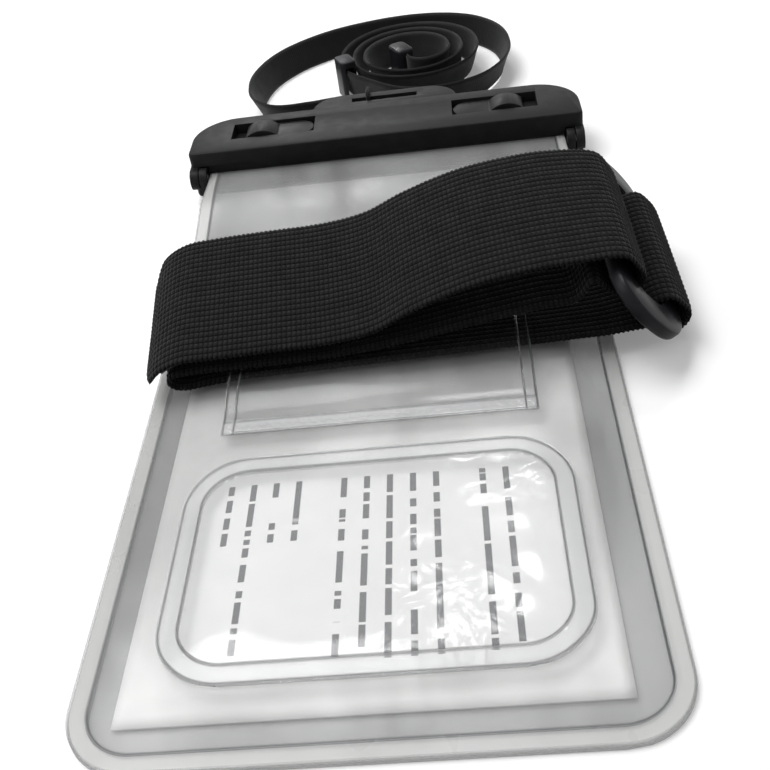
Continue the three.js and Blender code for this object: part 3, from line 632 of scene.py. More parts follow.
def build_frosted_film(tree, shader, cloud_and_fold_shade, milk, haze):
    """Milky film with a pressed seam round its rim: milk is its light tone and cloud its dark one, haze their two
    alphas, and the slow blotches between them are partly the film's own haze and partly painted shade of its folds.
    """
    place = object_place(tree)
    inside = bag_rim_distance(tree, place)
    size = sizes()
    seam = pressed_line(tree, inside, size.rim_width, 0.42 * MM)
    edge = pressed_line(tree, inside, 0.25 * MM, 0.5 * MM)
    stretched = vector_maths(tree, "MULTIPLY", place, (1.0, 0.45, 1.0))
    # Slow blotches towards the dark tone: partly the film's own haze, partly painted shade of its folds
    cloud_and_fold_shade_noise = noise_value(tree, stretched, 34.0, detail=2.5, distortion=0.8)
    axes = node(tree, "ShaderNodeSeparateXYZ", {0: place})
    to_closed_end = remap(tree, axes.outputs["Y"], BAG_Y + 70 * MM, BAG_Y + 10 * MM, 0.0, 0.22)
    # Lighter and a little clearer towards the right: painted light, as if that side were lit more
    painted_light_to_right = remap(tree, axes.outputs["X"], BAG_X - 50 * MM, BAG_X + 50 * MM, -0.04, 0.1)
    # The sum holds the film pressed flat near the closed end and the painted light towards the right
    pressed_flat_and_painted_light = maths(tree, "ADD", to_closed_end, painted_light_to_right)
    tone = remap(tree, maths(tree, "ADD", cloud_and_fold_shade_noise, pressed_flat_and_painted_light), 0.42, 0.76)
    clouded_and_fold_shaded = colour_mix(tree, tone, cloud_and_fold_shade, milk)
    rim = remap(tree, inside, size.rim_width, size.rim_width - 0.3 * MM)
    banded = colour_mix(tree, maths(tree, "MULTIPLY", rim, 0.7), clouded_and_fold_shaded, RIM_TONE)
    marked = maths(tree, "MAXIMUM", seam, maths(tree, "MULTIPLY", edge, 0.6))
    lined = colour_mix(tree, marked, banded, colour("seam"))
    bloom, patches = grain(tree, place, 1400.0)
    fold_place = vector_maths(tree, "MULTIPLY", place, (1.0, 0.5, 1.0))
    folds = noise_value(tree, fold_place, 40.0, detail=0.6, distortion=0.6)
    loose = remap(tree, inside, size.rim_width, size.rim_width + 9 * MM, 0.0, 11.0)
    pressed = maths(tree, "SUBTRACT", maths(tree, "MULTIPLY", bloom, 0.01), seam)
    height = maths(tree, "ADD", pressed, maths(tree, "MULTIPLY", folds, loose))
    thick = maths(tree, "MAXIMUM", maths(tree, "MULTIPLY", seam, 0.8), maths(tree, "MULTIPLY", rim, 0.36))
    feed(
        tree, shader,
        Base_Color=lined,
        Roughness=remap(tree, patches, 0.3, 0.7, 0.24, 0.4),
        Alpha=maths(tree, "MAXIMUM", remap(tree, tone, 0.0, 1.0, *haze), thick),
        Normal=bump(tree, height, 0.35 * MM, 0.8),
        IOR=1.6,
    )


def build_upper_film(tree, shader):
    """The film over the insert, which shows through it, most of all near the closed end."""
    build_frosted_film(tree, shader, FILM_CLOUD_AND_FOLD_SHADE, colour("film"), (0.23, 0.12))


def build_lower_film(tree, shader):
    """The film under the insert, which hides more of the table."""
    build_frosted_film(tree, shader, BACK_FILM_CLOUD_AND_FOLD_SHADE, colour("back_film"), (0.42, 0.32))


def build_clear_window(tree, shader):
    """Clear glossy film with a double weld line and crinkles that catch the light."""
    place = object_place(tree)
    size = sizes()
    inside = outline_distance(tree, place, *middle_and_half(WINDOW_LOW, WINDOW_HIGH), size.window_corner)
    outer = pressed_line(tree, inside, 0.35 * MM, 0.45 * MM)
    inner = pressed_line(tree, inside, size.window_weld, 0.42 * MM)
    lines = maths(tree, "MAXIMUM", outer, inner)
    weld = remap(tree, inside, size.window_weld + 0.2 * MM, size.window_weld - 0.2 * MM)
    crinkles = noise_value(tree, place, 95.0, detail=2.0, roughness=0.45, distortion=1.6)
    spread = remap(tree, noise_value(tree, place, 22.0, detail=1.0), 0.45, 0.62)
    height = maths(tree, "SUBTRACT", maths(tree, "MULTIPLY", crinkles, spread), lines)
    haze = maths(tree, "MAXIMUM", lines, maths(tree, "MULTIPLY", weld, 0.04))
    feed(
        tree, shader,
        Base_Color=colour_mix(tree, lines, colour("clear"), colour("seam")),
        Roughness=remap(tree, weld, 0.0, 1.0, 0.13, 0.38),
        Alpha=remap(tree, haze, 0.0, 1.0, 0.15, 0.7),
        Normal=bump(tree, height, 1.3 * MM, 0.7),
        IOR=2.3,
    )


def build_clear_sleeve(tree, shader):
    """Clear film over the armband, with double side lines and welded ends pressed by a toothed bar."""
    place = object_place(tree)
    middle, half = middle_and_half(SLEEVE_LOW, SLEEVE_HIGH)
    inside = outline_distance(tree, place, middle, half, 0.6 * MM)
    size = sizes()
    axes = node(tree, "ShaderNodeSeparateXYZ", {0: place})
    to_end = maths(tree, "SUBTRACT", half[1], maths(
        tree, "ABSOLUTE", maths(tree, "SUBTRACT", axes.outputs["Y"], middle[1])))
    to_side = maths(tree, "SUBTRACT", half[0], maths(
        tree, "ABSOLUTE", maths(tree, "SUBTRACT", axes.outputs["X"], middle[0])))
    edge = pressed_line(tree, inside, 0.3 * MM, 0.4 * MM)
    end_line = pressed_line(tree, to_end, size.sleeve_weld, 0.38 * MM)
    side_line = pressed_line(tree, to_side, 2.6 * MM, 0.35 * MM)
    in_weld = remap(tree, to_end, size.sleeve_weld, size.sleeve_weld - 0.2 * MM)
    teeth = maths(tree, "PINGPONG", axes.outputs["X"], 1.1 * MM)
    zigzag = pressed_line(
        tree, maths(tree, "SUBTRACT", to_end, teeth), size.sleeve_weld * 0.32, 0.32 * MM)
    toothed = maths(tree, "MULTIPLY", zigzag, in_weld)
    lines = maths(tree, "MAXIMUM", maths(tree, "MAXIMUM", edge, end_line), side_line)
    marks = maths(tree, "MAXIMUM", lines, maths(tree, "MULTIPLY", toothed, 0.45))
    ripple = noise_value(tree, vector_maths(tree, "MULTIPLY", place, (1.0, 0.35, 1.0)), 60.0, detail=1.5)
    height = maths(tree, "SUBTRACT", maths(tree, "MULTIPLY", ripple, 0.5), marks)
    plain = colour_mix(tree, in_weld, SLEEVE_SHADE, colour("clear"))
    haze = maths(tree, "MAXIMUM", marks, maths(tree, "MULTIPLY", in_weld, 0.3))
    feed(
        tree, shader,
        Base_Color=colour_mix(tree, marks, plain, colour("seam")),
        Roughness=0.12,
        Alpha=remap(tree, haze, 0.0, 1.0, 0.1, 0.7),
        Normal=bump(tree, height, 0.35 * MM, 0.6),
        IOR=1.9,
    )


def build_paper(tree, shader):
    """White paper with plain broken bars where the print is."""
    place = object_place(tree)
    axes = node(tree, "ShaderNodeSeparateXYZ", {0: place})
    column = maths(tree, "DIVIDE", maths(tree, "SUBTRACT", axes.outputs["X"], BAG_X), PRINT_PITCH)
    line = maths(tree, "FLOOR", column)
    across = maths(tree, "ABSOLUTE", maths(tree, "SUBTRACT", maths(tree, "FRACT", column), HALF))
    bar = remap(tree, across, 0.15, 0.12)
    word_place = node(tree, "ShaderNodeCombineXYZ", {
        "X": maths(tree, "MULTIPLY", line, 3.7),
        "Y": maths(tree, "MULTIPLY", axes.outputs["Y"], 430.0),
    })
    words = remap(tree, noise_value(tree, word_place.outputs[0], 1.0, detail=0.0), 0.39, 0.41)
    seed = node(tree, "ShaderNodeCombineXYZ", {"X": maths(tree, "MULTIPLY", line, 7.31)})
    chance = node(tree, "ShaderNodeTexWhiteNoise", {"Vector": seed.outputs[0]}, noise_dimensions="3D")
    length = maths(tree, "GREATER_THAN", chance.outputs["Value"], 0.7)
    near_end = remap(tree, length, 0.0, 1.0, WINDOW_LOW[1] + 6 * MM, WINDOW_LOW[1] + 34 * MM)
    used = maths(tree, "GREATER_THAN", chance.outputs["Value"], 0.14)
    printed = maths(tree, "MULTIPLY", used, maths(tree, "GREATER_THAN", axes.outputs["Y"], near_end))
    sideways = maths(tree, "ABSOLUTE", maths(tree, "SUBTRACT", axes.outputs["X"], BAG_X))
    in_width = maths(tree, "LESS_THAN", sideways, (WINDOW_HIGH[0] - WINDOW_LOW[0]) / 2 - 6 * MM)
    in_length = maths(tree, "LESS_THAN", axes.outputs["Y"], WINDOW_HIGH[1] - 5 * MM)
    below = maths(tree, "MULTIPLY", in_width, in_length)
    broken_bar = maths(tree, "MULTIPLY", bar, words)
    ink = maths(tree, "MULTIPLY", broken_bar, maths(tree, "MULTIPLY", printed, below))
    fibres, patches = grain(tree, place, 2600.0)
    sheet = colour_mix(tree, remap(tree, patches, 0.3, 0.7), PAPER_SHADE, colour("paper"))
    feed(
        tree, shader,
        Base_Color=colour_mix(tree, ink, sheet, colour("ink")),
        Roughness=0.85,
        Normal=bump(tree, fibres, 0.03 * MM, 0.5),
    )


def build_moulded(tree, shader, base, worn, roughness, grain_scale, depth):
    """Moulded plastic: fine spark texture, and slow patches of a rubbed tone."""
    place = object_place(tree)
    fine, patches = grain(tree, place, grain_scale)
    tone = colour_mix(tree, remap(tree, patches, 0.35, 0.7), base, worn)
    feed(
        tree, shader,
        Base_Color=tone,
        Roughness=remap(tree, patches, 0.3, 0.7, roughness - 0.05, roughness + 0.06),
        Normal=bump(tree, fine, depth, 0.5),
        IOR=1.5,
    )
    shader.inputs["Specular IOR Level"].default_value = 0.1


def build_clamp_plastic(tree, shader):
    """Satin black moulding."""
    build_moulded(tree, shader, colour("clamp"), CLAMP_RUBBED, 0.46, 5200.0, 0.03 * MM)


def build_latch_plastic(tree, shader):
    """Satin black moulding, a little smoother where thumbs rub it."""
    build_moulded(tree, shader, LATCH_TONE, LATCH_RUBBED, 0.4, 5200.0, 0.02 * MM)


def build_ring_plastic(tree, shader):
    """Polished black moulding."""
    build_moulded(tree, shader, colour("ring"), RING_RUBBED, 0.32, 1800.0, 0.004 * MM)


def build_webbing(tree, shader):
    """Knitted elastic with fine yarn: the grooves between the nubs get a darker colour, painted shade in the recesses,
    so the nubs stand out lighter.
    """
    along = node(tree, "ShaderNodeUVMap", uv_map="along").outputs["UV"]
    axes = node(tree, "ShaderNodeSeparateXYZ", {0: along})
    nubs_across, nubs_along = knit_counts()
    waves = []
    for axis, count in (("X", 2 * nubs_across), ("Y", nubs_along)):
        wave = maths(tree, "SINE", maths(tree, "MULTIPLY", axes.outputs[axis], count * math.pi))
        waves.append(maths(tree, "ABSOLUTE", wave))
    nub = maths(tree, "MULTIPLY", maths(tree, "POWER", waves[0], 0.7), maths(tree, "POWER", waves[1], 0.7))
    yarn, patches = grain(tree, object_place(tree), 5200.0)
    lit = colour_mix(tree, remap(tree, yarn, 0.35, 0.7), colour("webbing"), WEBBING_LIT)
    worn = colour_mix(tree, remap(tree, patches, 0.35, 0.65, 0.0, 0.45), lit, WEBBING_SHADE)
    # The groove colour between the nubs is painted shade
    tone = colour_mix(tree, remap(tree, nub, 0.3, 0.8), colour("groove"), worn)
    height = maths(tree, "ADD", nub, maths(tree, "MULTIPLY", yarn, 0.25))
    feed(
        tree, shader,
        Base_Color=tone,
        Roughness=remap(tree, patches, 0.3, 0.7, 0.7, 0.84),
        Normal=bump(tree, height, 0.45 * MM, 1.0),
        Sheen_Weight=0.05,
        Sheen_Roughness=0.45,
    )
    shader.inputs["Specular IOR Level"].default_value = 0.09


def build_hook_tape(tree, shader):
    """Hook tape: rows of tiny stiff hooks."""
    place = object_place(tree)
    hooks = node(tree, "ShaderNodeTexVoronoi", {"Vector": place, "Scale": 900.0, "Randomness": 0.35})
    height = remap(tree, hooks.outputs["Distance"], 0.1, 0.6, 1.0, 0.0)
    feed(
        tree, shader,
        Base_Color=colour_mix(tree, height, HOOK_GROUND, HOOK_TIP),
        Roughness=0.6,
        Normal=bump(tree, height, 0.4 * MM, 0.8),
    )


def build_ribbon(tree, shader):
    """Woven ribbon: fine ribs across it and a firm selvedge."""
    along = node(tree, "ShaderNodeUVMap", uv_map="along").outputs["UV"]
    axes = node(tree, "ShaderNodeSeparateXYZ", {0: along})
    relief = node(tree, "ShaderNodeAttribute", attribute_name="relief").outputs["Fac"]
    ribs = maths(tree, "SINE", maths(tree, "MULTIPLY", axes.outputs["Y"], RIBBON_RIBS * 2 * math.pi))
    threads = maths(tree, "SINE", maths(tree, "MULTIPLY", axes.outputs["X"], 60 * 2 * math.pi))
    height = maths(tree, "MULTIPLY", maths(tree, "ADD", ribs, threads), 0.25)
    yarn, patches = grain(tree, object_place(tree), 4200.0)
    tone = colour_mix(tree, remap(tree, yarn, 0.35, 0.7), colour("ribbon"), RIBBON_LIT)
    edged = colour_mix(tree, maths(tree, "MULTIPLY", relief, 0.5), tone, SELVEDGE)
    feed(
        tree, shader,
        Base_Color=edged,
        Roughness=remap(tree, patches, 0.3, 0.7, 0.55, 0.7),
        Normal=bump(tree, maths(tree, "ADD", height, maths(tree, "MULTIPLY", yarn, 0.3)), 0.08 * MM, 0.7),
        Sheen_Weight=0.1,
    )
    shader.inputs["Specular IOR Level"].default_value = 0.1


def build_rubber(tree, shader):
    """Soft grey rubber."""
    build_moulded(tree, shader, colour("rubber"), RUBBER_RUBBED, 0.6, 3000.0, 0.02 * MM)


def build_steel(tree, shader):
    """Drawn steel with faint lines round it."""
    place = object_place(tree)
    drawn = vector_maths(tree, "MULTIPLY", place, (0.2, 1.0, 1.0))
    lines = noise_value(tree, drawn, 4200.0, detail=2.0)
    feed(
        tree, shader,
        Base_Color=colour_mix(tree, lines, STEEL_SHADE, colour("steel")),
        Metallic=1.0,
        Roughness=remap(tree, lines, 0.3, 0.7, 0.24, 0.4),
        Normal=bump(tree, lines, 0.01 * MM, 0.4),
    )


# Films

def bag_half_width(y):
    """Half width of the bag at y from its closed end."""
    size = sizes()
    taper = smoothstep((y - (size.bag_length - size.neck_taper)) / size.neck_taper)
    straight = mix(size.bag_width, size.neck_width, taper) / 2
    if y >= size.bag_corner:
        return straight
    drop = size.bag_corner - max(y, 0.0)
    return straight - size.bag_corner + math.sqrt(size.bag_corner ** 2 - drop ** 2)


def bag_base(y):
    """Height of the lower film, which rises into the clamp."""
    size = sizes()
    return size.mouth_height * smoothstep((y - (size.bag_length - size.neck_rise_run)) / size.neck_rise_run)


def inside_rim(x, y):
    """Distance from the inner edge of the weld rim."""
    size = sizes()
    r = size.bag_corner - size.rim_width
    side = bag_half_width(max(y, size.bag_corner)) - size.rim_width - abs(x)
    low = y - size.rim_width
    if side > r or low > r:
        return min(side, low)
    return r - math.hypot(r - side, r - low)


def bag_puff(x, y):
    """How far the upper film stands over its rim."""
    size = sizes()
    inside = min(max(inside_rim(x, y) / size.puff_run, 0.0), 1.0)
    fade = smoothstep((size.bag_length - MOUTH_FLAT - y) / size.mouth_fade)
    return size.puff * fade * math.sin(inside * math.pi / 2) ** 0.7


def rounded_distance(x, y, low, high, radius):
    """Distance inside a rounded rectangle, negative outside it."""
    dx = abs(x - (low[0] + high[0]) / 2) - ((high[0] - low[0]) / 2 - radius)
    dy = abs(y - (low[1] + high[1]) / 2) - ((high[1] - low[1]) / 2 - radius)
    return radius - math.hypot(max(dx, 0.0), max(dy, 0.0)) - min(max(dx, dy), 0.0)


def soft_wrinkle(x, y, seed):
    """Soft folds of a film, from -1 to 1: long waves along the bag with smaller ones across them."""
    long_wave = noise.noise(Vector((x * 42, y * 16, seed)))
    cross_wave = noise.noise(Vector((x * 95 + y * 30, y * 60, seed + 5)))
    return 0.75 * long_wave + 0.45 * cross_wave


def film_calm(x, y):
    """1 where the upper film is free to wrinkle, 0 where something is welded on it or it is held."""
    row_x, row_y = x + BAG_X, y + BAG_Y
    size = sizes()
    from_window = -rounded_distance(row_x, row_y, WINDOW_LOW, WINDOW_HIGH, size.window_corner)
    from_sleeve = -rounded_distance(row_x, row_y, SLEEVE_LOW, SLEEVE_HIGH, MM)
    from_mouth = size.bag_length - MOUTH_FLAT - y
    from_weld = min(from_window, from_sleeve) / (5 * MM)
    return smoothstep(min(from_weld, inside_rim(x, y) / (7 * MM), from_mouth / (8 * MM)))


def upper_film_low(x, y):
    """Height of the upper film's lower face, without wrinkles."""
    return bag_base(y) + sizes().film_thickness + SEAT_GAP + bag_puff(x, y)


def close_rows(v):
    """Share of the bag's length at the row v, where rows lie closer to each other at the closed end."""
    return 0.35 * v + 0.65 * v * v


def film_place(u, v):
    """A place on the bag's outline for u and v from 0 to 1, with more rows near the closed end."""
    size = sizes()
    last_close = 0.2
    share = close_rows(v)
    if v >= last_close:
        share = mix(close_rows(last_close), 1.0, (v - last_close) / (1 - last_close))
    y = (size.bag_length + size.mouth_tuck) * share
    half = bag_half_width(y)
    spread = 2 * u - 1
    eased = spread * (1.25 - 0.25 * abs(spread))
    return half * eased, y


def lower_film_bm():
    """The flat film that lies on the table."""
    def place(u, v):
        x, y = film_place(u, v)
        return Vector((BAG_X + x, BAG_Y + y, bag_base(y)))
    return film_sheet(70, 120, place, sizes().film_thickness)


def upper_film_bm():
    """The film over the insert, with its wrinkles and the opening under the window."""
    size = sizes()
    opening = [
        (WINDOW_LOW[0] + size.window_weld, WINDOW_LOW[1] + size.window_weld),
        (WINDOW_HIGH[0] - size.window_weld, WINDOW_HIGH[1] - size.window_weld),
    ]
    radius = size.window_corner - size.window_weld

    def snapped(row_x, row_y):
        step = 0.1 * MM
        inside = rounded_distance(row_x, row_y, *opening, radius)
        if abs(inside) > 0.55 * MM:
            return row_x, row_y
        slope_x = (rounded_distance(row_x + step, row_y, *opening, radius) - inside) / step
        slope_y = (rounded_distance(row_x, row_y + step, *opening, radius) - inside) / step
        return row_x - slope_x * inside, row_y - slope_y * inside

    def place(u, v):
        x, y = film_place(u, v)
        row_x, row_y = snapped(BAG_X + x, BAG_Y + y)
        x, y = row_x - BAG_X, row_y - BAG_Y
        lift = size.wrinkle * film_calm(x, y) * soft_wrinkle(x, y, 3.0)
        return Vector((row_x, row_y, upper_film_low(x, y) + lift))

    def keep(middle):
        return rounded_distance(middle.x, middle.y, *opening, radius) < 0

    return film_sheet(110, 210, place, size.film_thickness, keep)


def window_bm():
    """The window film, tight at its weld and crinkled in the middle."""
    size = sizes()
    width = WINDOW_HIGH[0] - WINDOW_LOW[0]
    length = WINDOW_HIGH[1] - WINDOW_LOW[1]

    def place(u, v):
        y = length * v
        end = min(y, length - y)
        drop = max(0.0, size.window_corner - end)
        half = width / 2 - size.window_corner + math.sqrt(max(0.0, size.window_corner ** 2 - drop ** 2))
        x = (2 * u - 1) * half
        row_x = (WINDOW_LOW[0] + WINDOW_HIGH[0]) / 2 + x
        row_y = WINDOW_LOW[1] + y
        inside = rounded_distance(row_x, row_y, WINDOW_LOW, WINDOW_HIGH, size.window_corner)
        free = smoothstep((inside - size.window_weld) / (7 * MM))
        lift = 1.1 * size.wrinkle * free * soft_wrinkle(x * 1.2, y * 1.9, 11.0)
        level = upper_film_low(row_x - BAG_X, row_y - BAG_Y) + size.film_thickness + SEAT_GAP
        return Vector((row_x, row_y, level + lift))

    return film_sheet(110, 80, place, THIN_SHEET)


def sleeve_bm():
    """The sleeve film, welded at both ends and lifted over the armband."""
    size = sizes()
    length = SLEEVE_HIGH[1] - SLEEVE_LOW[1]
    ramp = 11 * MM
    over_band = SLEEVE_HIGH[2] - THIN_SHEET

    def place(u, v):
        row_x = mix(SLEEVE_LOW[0], SLEEVE_HIGH[0], u)
        row_y = mix(SLEEVE_LOW[1], SLEEVE_HIGH[1], v)
        x, y = row_x - BAG_X, row_y - BAG_Y
        low = upper_film_low(x, y) + size.film_thickness + SEAT_GAP
        from_end = min(length * v, length * (1 - v))
        lift = smoothstep((from_end - size.sleeve_weld) / ramp)
        ripple = 0.25 * MM * max(0.0, soft_wrinkle(x, y * 0.6, 21.0)) * lift
        return Vector((row_x, row_y, mix(low, max(low, over_band), lift) + ripple))

    return film_sheet(60, 80, place, THIN_SHEET)


def insert_bm():
    """The paper insert, a little uneven."""
    size = sizes()

    def place(u, v):
        row_x = mix(INSERT_LOW[0], INSERT_HIGH[0], u)
        row_y = mix(INSERT_LOW[1], INSERT_HIGH[1], v)
        x, y = row_x - BAG_X, row_y - BAG_Y
        edge = min(u, 1 - u, v, 1 - v)
        lift = (0.9 + 0.6 * noise.noise(Vector((x * 30, y * 20, 2.0)))) * MM * smoothstep(edge / 0.18)
        return Vector((row_x, row_y, bag_base(y) + size.film_thickness + SEAT_GAP + lift))

    return film_sheet(40, 60, place, THIN_SHEET)


# Armband

BAND_SKEW = 0.05
BAND_FROM_BOTTOM = 95 * MM
BAND_LOW_Z = 6.1 * MM
BAND_RING_GAP = 1.3 * MM
RING_LENGTH_ACROSS = 22 * MM
RING_SLOT = 10 * MM
RING_THICKNESS = 3.2 * MM
RING_TILT = math.radians(50)
RING_PITCH = math.radians(8)
RING_X = 57.5 * MM
RING_RISE = 11.3 * MM
SEWN_TURN = [
    (-0.66, -1.3), (-0.92, -0.8), (-0.98, 0), (-0.62, 0.94), (0.1, 1.06), (0.78, 0.86), (1.08, 0.1),
    (0.86, -0.84), (0.2, -1.1),
]
SLIDING_TURN = [
    (-0.7, -1.2), (0.15, -1.1), (0.72, -0.86), (1.02, 0), (0.72, 0.86), (0.1, 1.1), (-0.75, 1.12),
]
# Runs between the turns, in millimetres: x, near edge's height over the lowest run, far edge's rise
LOWER_RUN = [
    (50, 0, 1.2), (42, 0, 0.1), (30, 0, 0), (8, 0, 0), (-14, 0, 0), (-32, 0, 0),
    (-38.6, -0.5, 0.3), (-43.4, -1, 0.8), (-46, -0.5, 1.4), (-47.2, 1, 2.3), (-46, 2.5, 3.3),
    (-43.2, 3, 4.2), (-35, 3.1, 5.2), (-24, 3, 6), (-8, 3.2, 6.6), (8, 4.9, 7), (24, 7.5, 7),
    (36, 9.1, 6.6), (44, 9.9, 6),
]
TOP_RUN = [
    (43, 19.5, 7.2), (34, 18.9, 7.6), (22, 16.9, 8), (9, 12.5, 8.4), (0, 8.3, 8.8), (-10, 6.7, 8.8),
    (-24, 6.5, 8.8), (-36, 6.4, 8.6), (-44, 6.2, 8), (-49.5, 3.7, 7.4), (-52.4, -0.5, 7),
]


def ring_matrix():
    """Place of the leaning slider ring."""
    middle_y = BAND_FROM_BOTTOM + BAND_SKEW * RING_X + sizes().band_width / 2
    place = Matrix.Translation((BAG_X + RING_X, BAG_Y + middle_y, BAND_LOW_Z + RING_RISE))
    turn = Matrix.Rotation(math.atan(BAND_SKEW), 4, "Z")
    pitch = Matrix.Rotation(RING_PITCH, 4, "X")
    tilt = Matrix.Rotation(RING_TILT, 4, "Y")
    return place @ turn @ pitch @ tilt


def band_edges():
    """Points of the armband's near and far edges, from its sewn end to its free end."""
    size = sizes()
    near, far = [], []
    place = ring_matrix()
    bar = (RING_LENGTH_ACROSS + RING_SLOT) / 4
    wrap_u = (RING_LENGTH_ACROSS - RING_SLOT) / 4 + size.band_thickness / 2 + BAND_RING_GAP
    wrap_v = RING_THICKNESS / 2 + size.band_thickness / 2 + BAND_RING_GAP

    def turn(points, side):
        for u, v in points:
            for edge, along in ((near, -size.band_width / 2), (far, size.band_width / 2)):
                edge.append(place @ Vector((side * bar + u * wrap_u, along, v * wrap_v)))

    def run(points):
        for x, height, rise in points:
            x, height, rise = x * MM, height * MM, rise * MM
            y = BAND_FROM_BOTTOM + BAND_SKEW * x
            z = BAND_LOW_Z + height
            across = math.sqrt(size.band_width ** 2 - rise ** 2)
            near.append(Vector((BAG_X + x, BAG_Y + y, z)))
            far.append(Vector((BAG_X + x - BAND_SKEW * across, BAG_Y + y + across, z + rise)))

    turn(SEWN_TURN, 1)
    run(LOWER_RUN)
    turn(SLIDING_TURN, -1)
    run(TOP_RUN)
    return near, far


def strap_rows(near, far, shares):
    """For each share of the route: both edges and both edge directions."""
    rows = []
    step = 0.0008
    for share in shares:
        before, after = max(share - step, 0.0), min(share + step, 1.0)
        rows.append((
            curve_point(near, share), curve_point(far, share),
            (curve_point(near, after) - curve_point(near, before)).normalized(),
            (curve_point(far, after) - curve_point(far, before)).normalized(),
        ))
    return rows


def strip_side(column, across_steps):
    """For a column round a strip: 1 on its upper face or -1 on its lower one, and the share across it."""
    side = 1 if column <= across_steps else -1
    return side, (column if side > 0 else 2 * across_steps - column) / across_steps


def strap_point(row, across, out):
    """A point across a strap, out from its middle face."""
    near, far, near_way, far_way = row
    way = near_way.lerp(far_way, across)
    width = (far - near).normalized()
    return near.lerp(far, across) + width.cross(way).normalized() * out


def knit_counts():
    """Number of nubs across one face of the webbing and along it."""
    size = sizes()
    near, far = band_edges()
    shares, length = even_shares([a.lerp(b, HALF) for a, b in zip(near, far)], 10)
    return round(size.band_width / size.knit_across), round(length / size.knit_along)


def webbing_bm():
    """The knitted webbing: rows of nubs on both faces, and toothed edges."""
    size = sizes()
    near, far = band_edges()
    nubs_across, nubs_along = knit_counts()
    across_steps, steps = 2 * nubs_across, 2 * nubs_along
    shares, length = even_shares([a.lerp(b, HALF) for a, b in zip(near, far)], steps)
    rows = strap_rows(near, far, shares)
    half = size.band_thickness / 2
    tooth = 0.3 * MM / size.band_width

    def place(column, row):
        side, across = strip_side(column, across_steps)
        to_cut = size.band_corner - min(size.band_corner, (steps - row) * length / steps)
        rounded = (size.band_corner - math.sqrt(size.band_corner ** 2 - to_cut ** 2)) / size.band_width
        across = mix(rounded, 1 - rounded, across)
        raised = float(column % 2 * (row % 2))
        edge = column in (0, across_steps)
        if edge:
            across += (tooth if row % 2 else -tooth / 2) * (1 if across > HALF else -1)
            return strap_point(rows[row], across, 0.0), 0.25
        roundness = (1 - abs(2 * (column % across_steps) / across_steps - 1) ** 14) ** HALF
        out = side * (half - size.knit_depth * (1 - raised)) * roundness
        return strap_point(rows[row], across, out), raised

    return closed_strip(2 * across_steps, steps, place)


def patch_bm():
    """The hook patch under the armband's free end."""
    size = sizes()
    near, far = band_edges()
    spans = len(near) - 1
    start, end = (spans - 6) / spans, (spans - 1) / spans
    steps, across_steps = 70, 24
    rows = strap_rows(near, far, [mix(start, end, i / steps) for i in range(steps + 1)])
    inset = (1 - size.patch_width / size.band_width) / 2
    under = size.band_thickness / 2 + SEAT_GAP

    def place(column, row):
        side, across = strip_side(column, across_steps)
        out = -under - (0.0 if side > 0 else size.patch_thickness)
        if column in (0, across_steps):
            out = -under - size.patch_thickness / 2
        return strap_point(rows[row], mix(inset, 1 - inset, across), out), 1.0

    return closed_strip(2 * across_steps, steps, place)


# Lanyard: millimetres from the middle of the lug's far face

RIBBON_RIBS = 700
CRIMP_X = -12.5
CRIMP_Y = 4.2
CRIMP_LENGTH = 6
COIL_CENTRE = (8, 37)
COIL_TURNS = 2.75
COIL_OUTER_R = 24
COIL_PITCH = 4.6
COIL_POINTS_A_TURN = 12
COIL_START = -0.68 * math.pi
COIL_END = [(0.9, 0.5), (0.68, 0.95), (0.42, 1.25)]
RIBBON_LEAD = [
    (CRIMP_X - CRIMP_LENGTH / 2 - 0.3, CRIMP_Y), (-24, 3.6), (-35, 5.6), (-42, 13.4), (-44, 26), (-40, 41),
    (-31, 53), (-17, 62), (0, 66.5), (16, 66), (29, 60), (37, 49), (39.5, 36), (37, 23), (29, 12), (17, 7.2),
    (5, 8.6),
]
TETHER_X = -5
TETHER_END_X = CRIMP_X + CRIMP_LENGTH / 2 + 0.6
TETHER_OVER = 13.6
TETHER_LOW = 0.8
SLOT_Y = -4.9
TETHER_ROUTE = [
    (TETHER_END_X, CRIMP_Y, 6.6), (TETHER_END_X + 2, CRIMP_Y - 0.6, 8.4), (TETHER_X - 0.6, 1.8, 11.4),
    (TETHER_X, 0.2, TETHER_OVER - 0.2), (TETHER_X, -1.8, TETHER_OVER + 0.3),
    (TETHER_X, -4.2, TETHER_OVER - 0.2), (TETHER_X, SLOT_Y, 9.4), (TETHER_X, SLOT_Y, 6),
    (TETHER_X, SLOT_Y, 2.8), (TETHER_X, -3, TETHER_LOW), (TETHER_X, -1.2, TETHER_LOW),
    (TETHER_X - 0.2, 1.2, 1.2), (TETHER_END_X + 2, CRIMP_Y - 0.6, 2.6), (TETHER_END_X, CRIMP_Y, 3.6),
]
RIBBON_LENGTH = 0.55
TETHER_LENGTH = 0.037


def from_lug(x, y, z):
    """A place given in millimetres from the lug's far face."""
    return Vector((BAG_X + x * MM, LUG_FAR_Y + y * MM, z * MM))


def coil_place(angle, radius, z):
    """A place on the ribbon's coil."""
    return from_lug(COIL_CENTRE[0] + radius * math.cos(angle), COIL_CENTRE[1] + radius * math.sin(angle), z)


def ribbon_points():
    """The ribbon's route: one wide loop, then a coil that ends at its middle."""
    z = sizes().ribbon_width / 2 / MM + 0.1
    points = [from_lug(x, y, z) for x, y in RIBBON_LEAD]
    for i in range(round(COIL_TURNS * COIL_POINTS_A_TURN) + 1):
        turn = i / COIL_POINTS_A_TURN
        points.append(coil_place(COIL_START - turn * 2 * math.pi, COIL_OUTER_R - COIL_PITCH * turn, z))
    last_angle = COIL_START - COIL_TURNS * 2 * math.pi
    last_r = COIL_OUTER_R - COIL_PITCH * COIL_TURNS
    points += [coil_place(last_angle - turned, last_r * share, z) for share, turned in COIL_END]
    return points


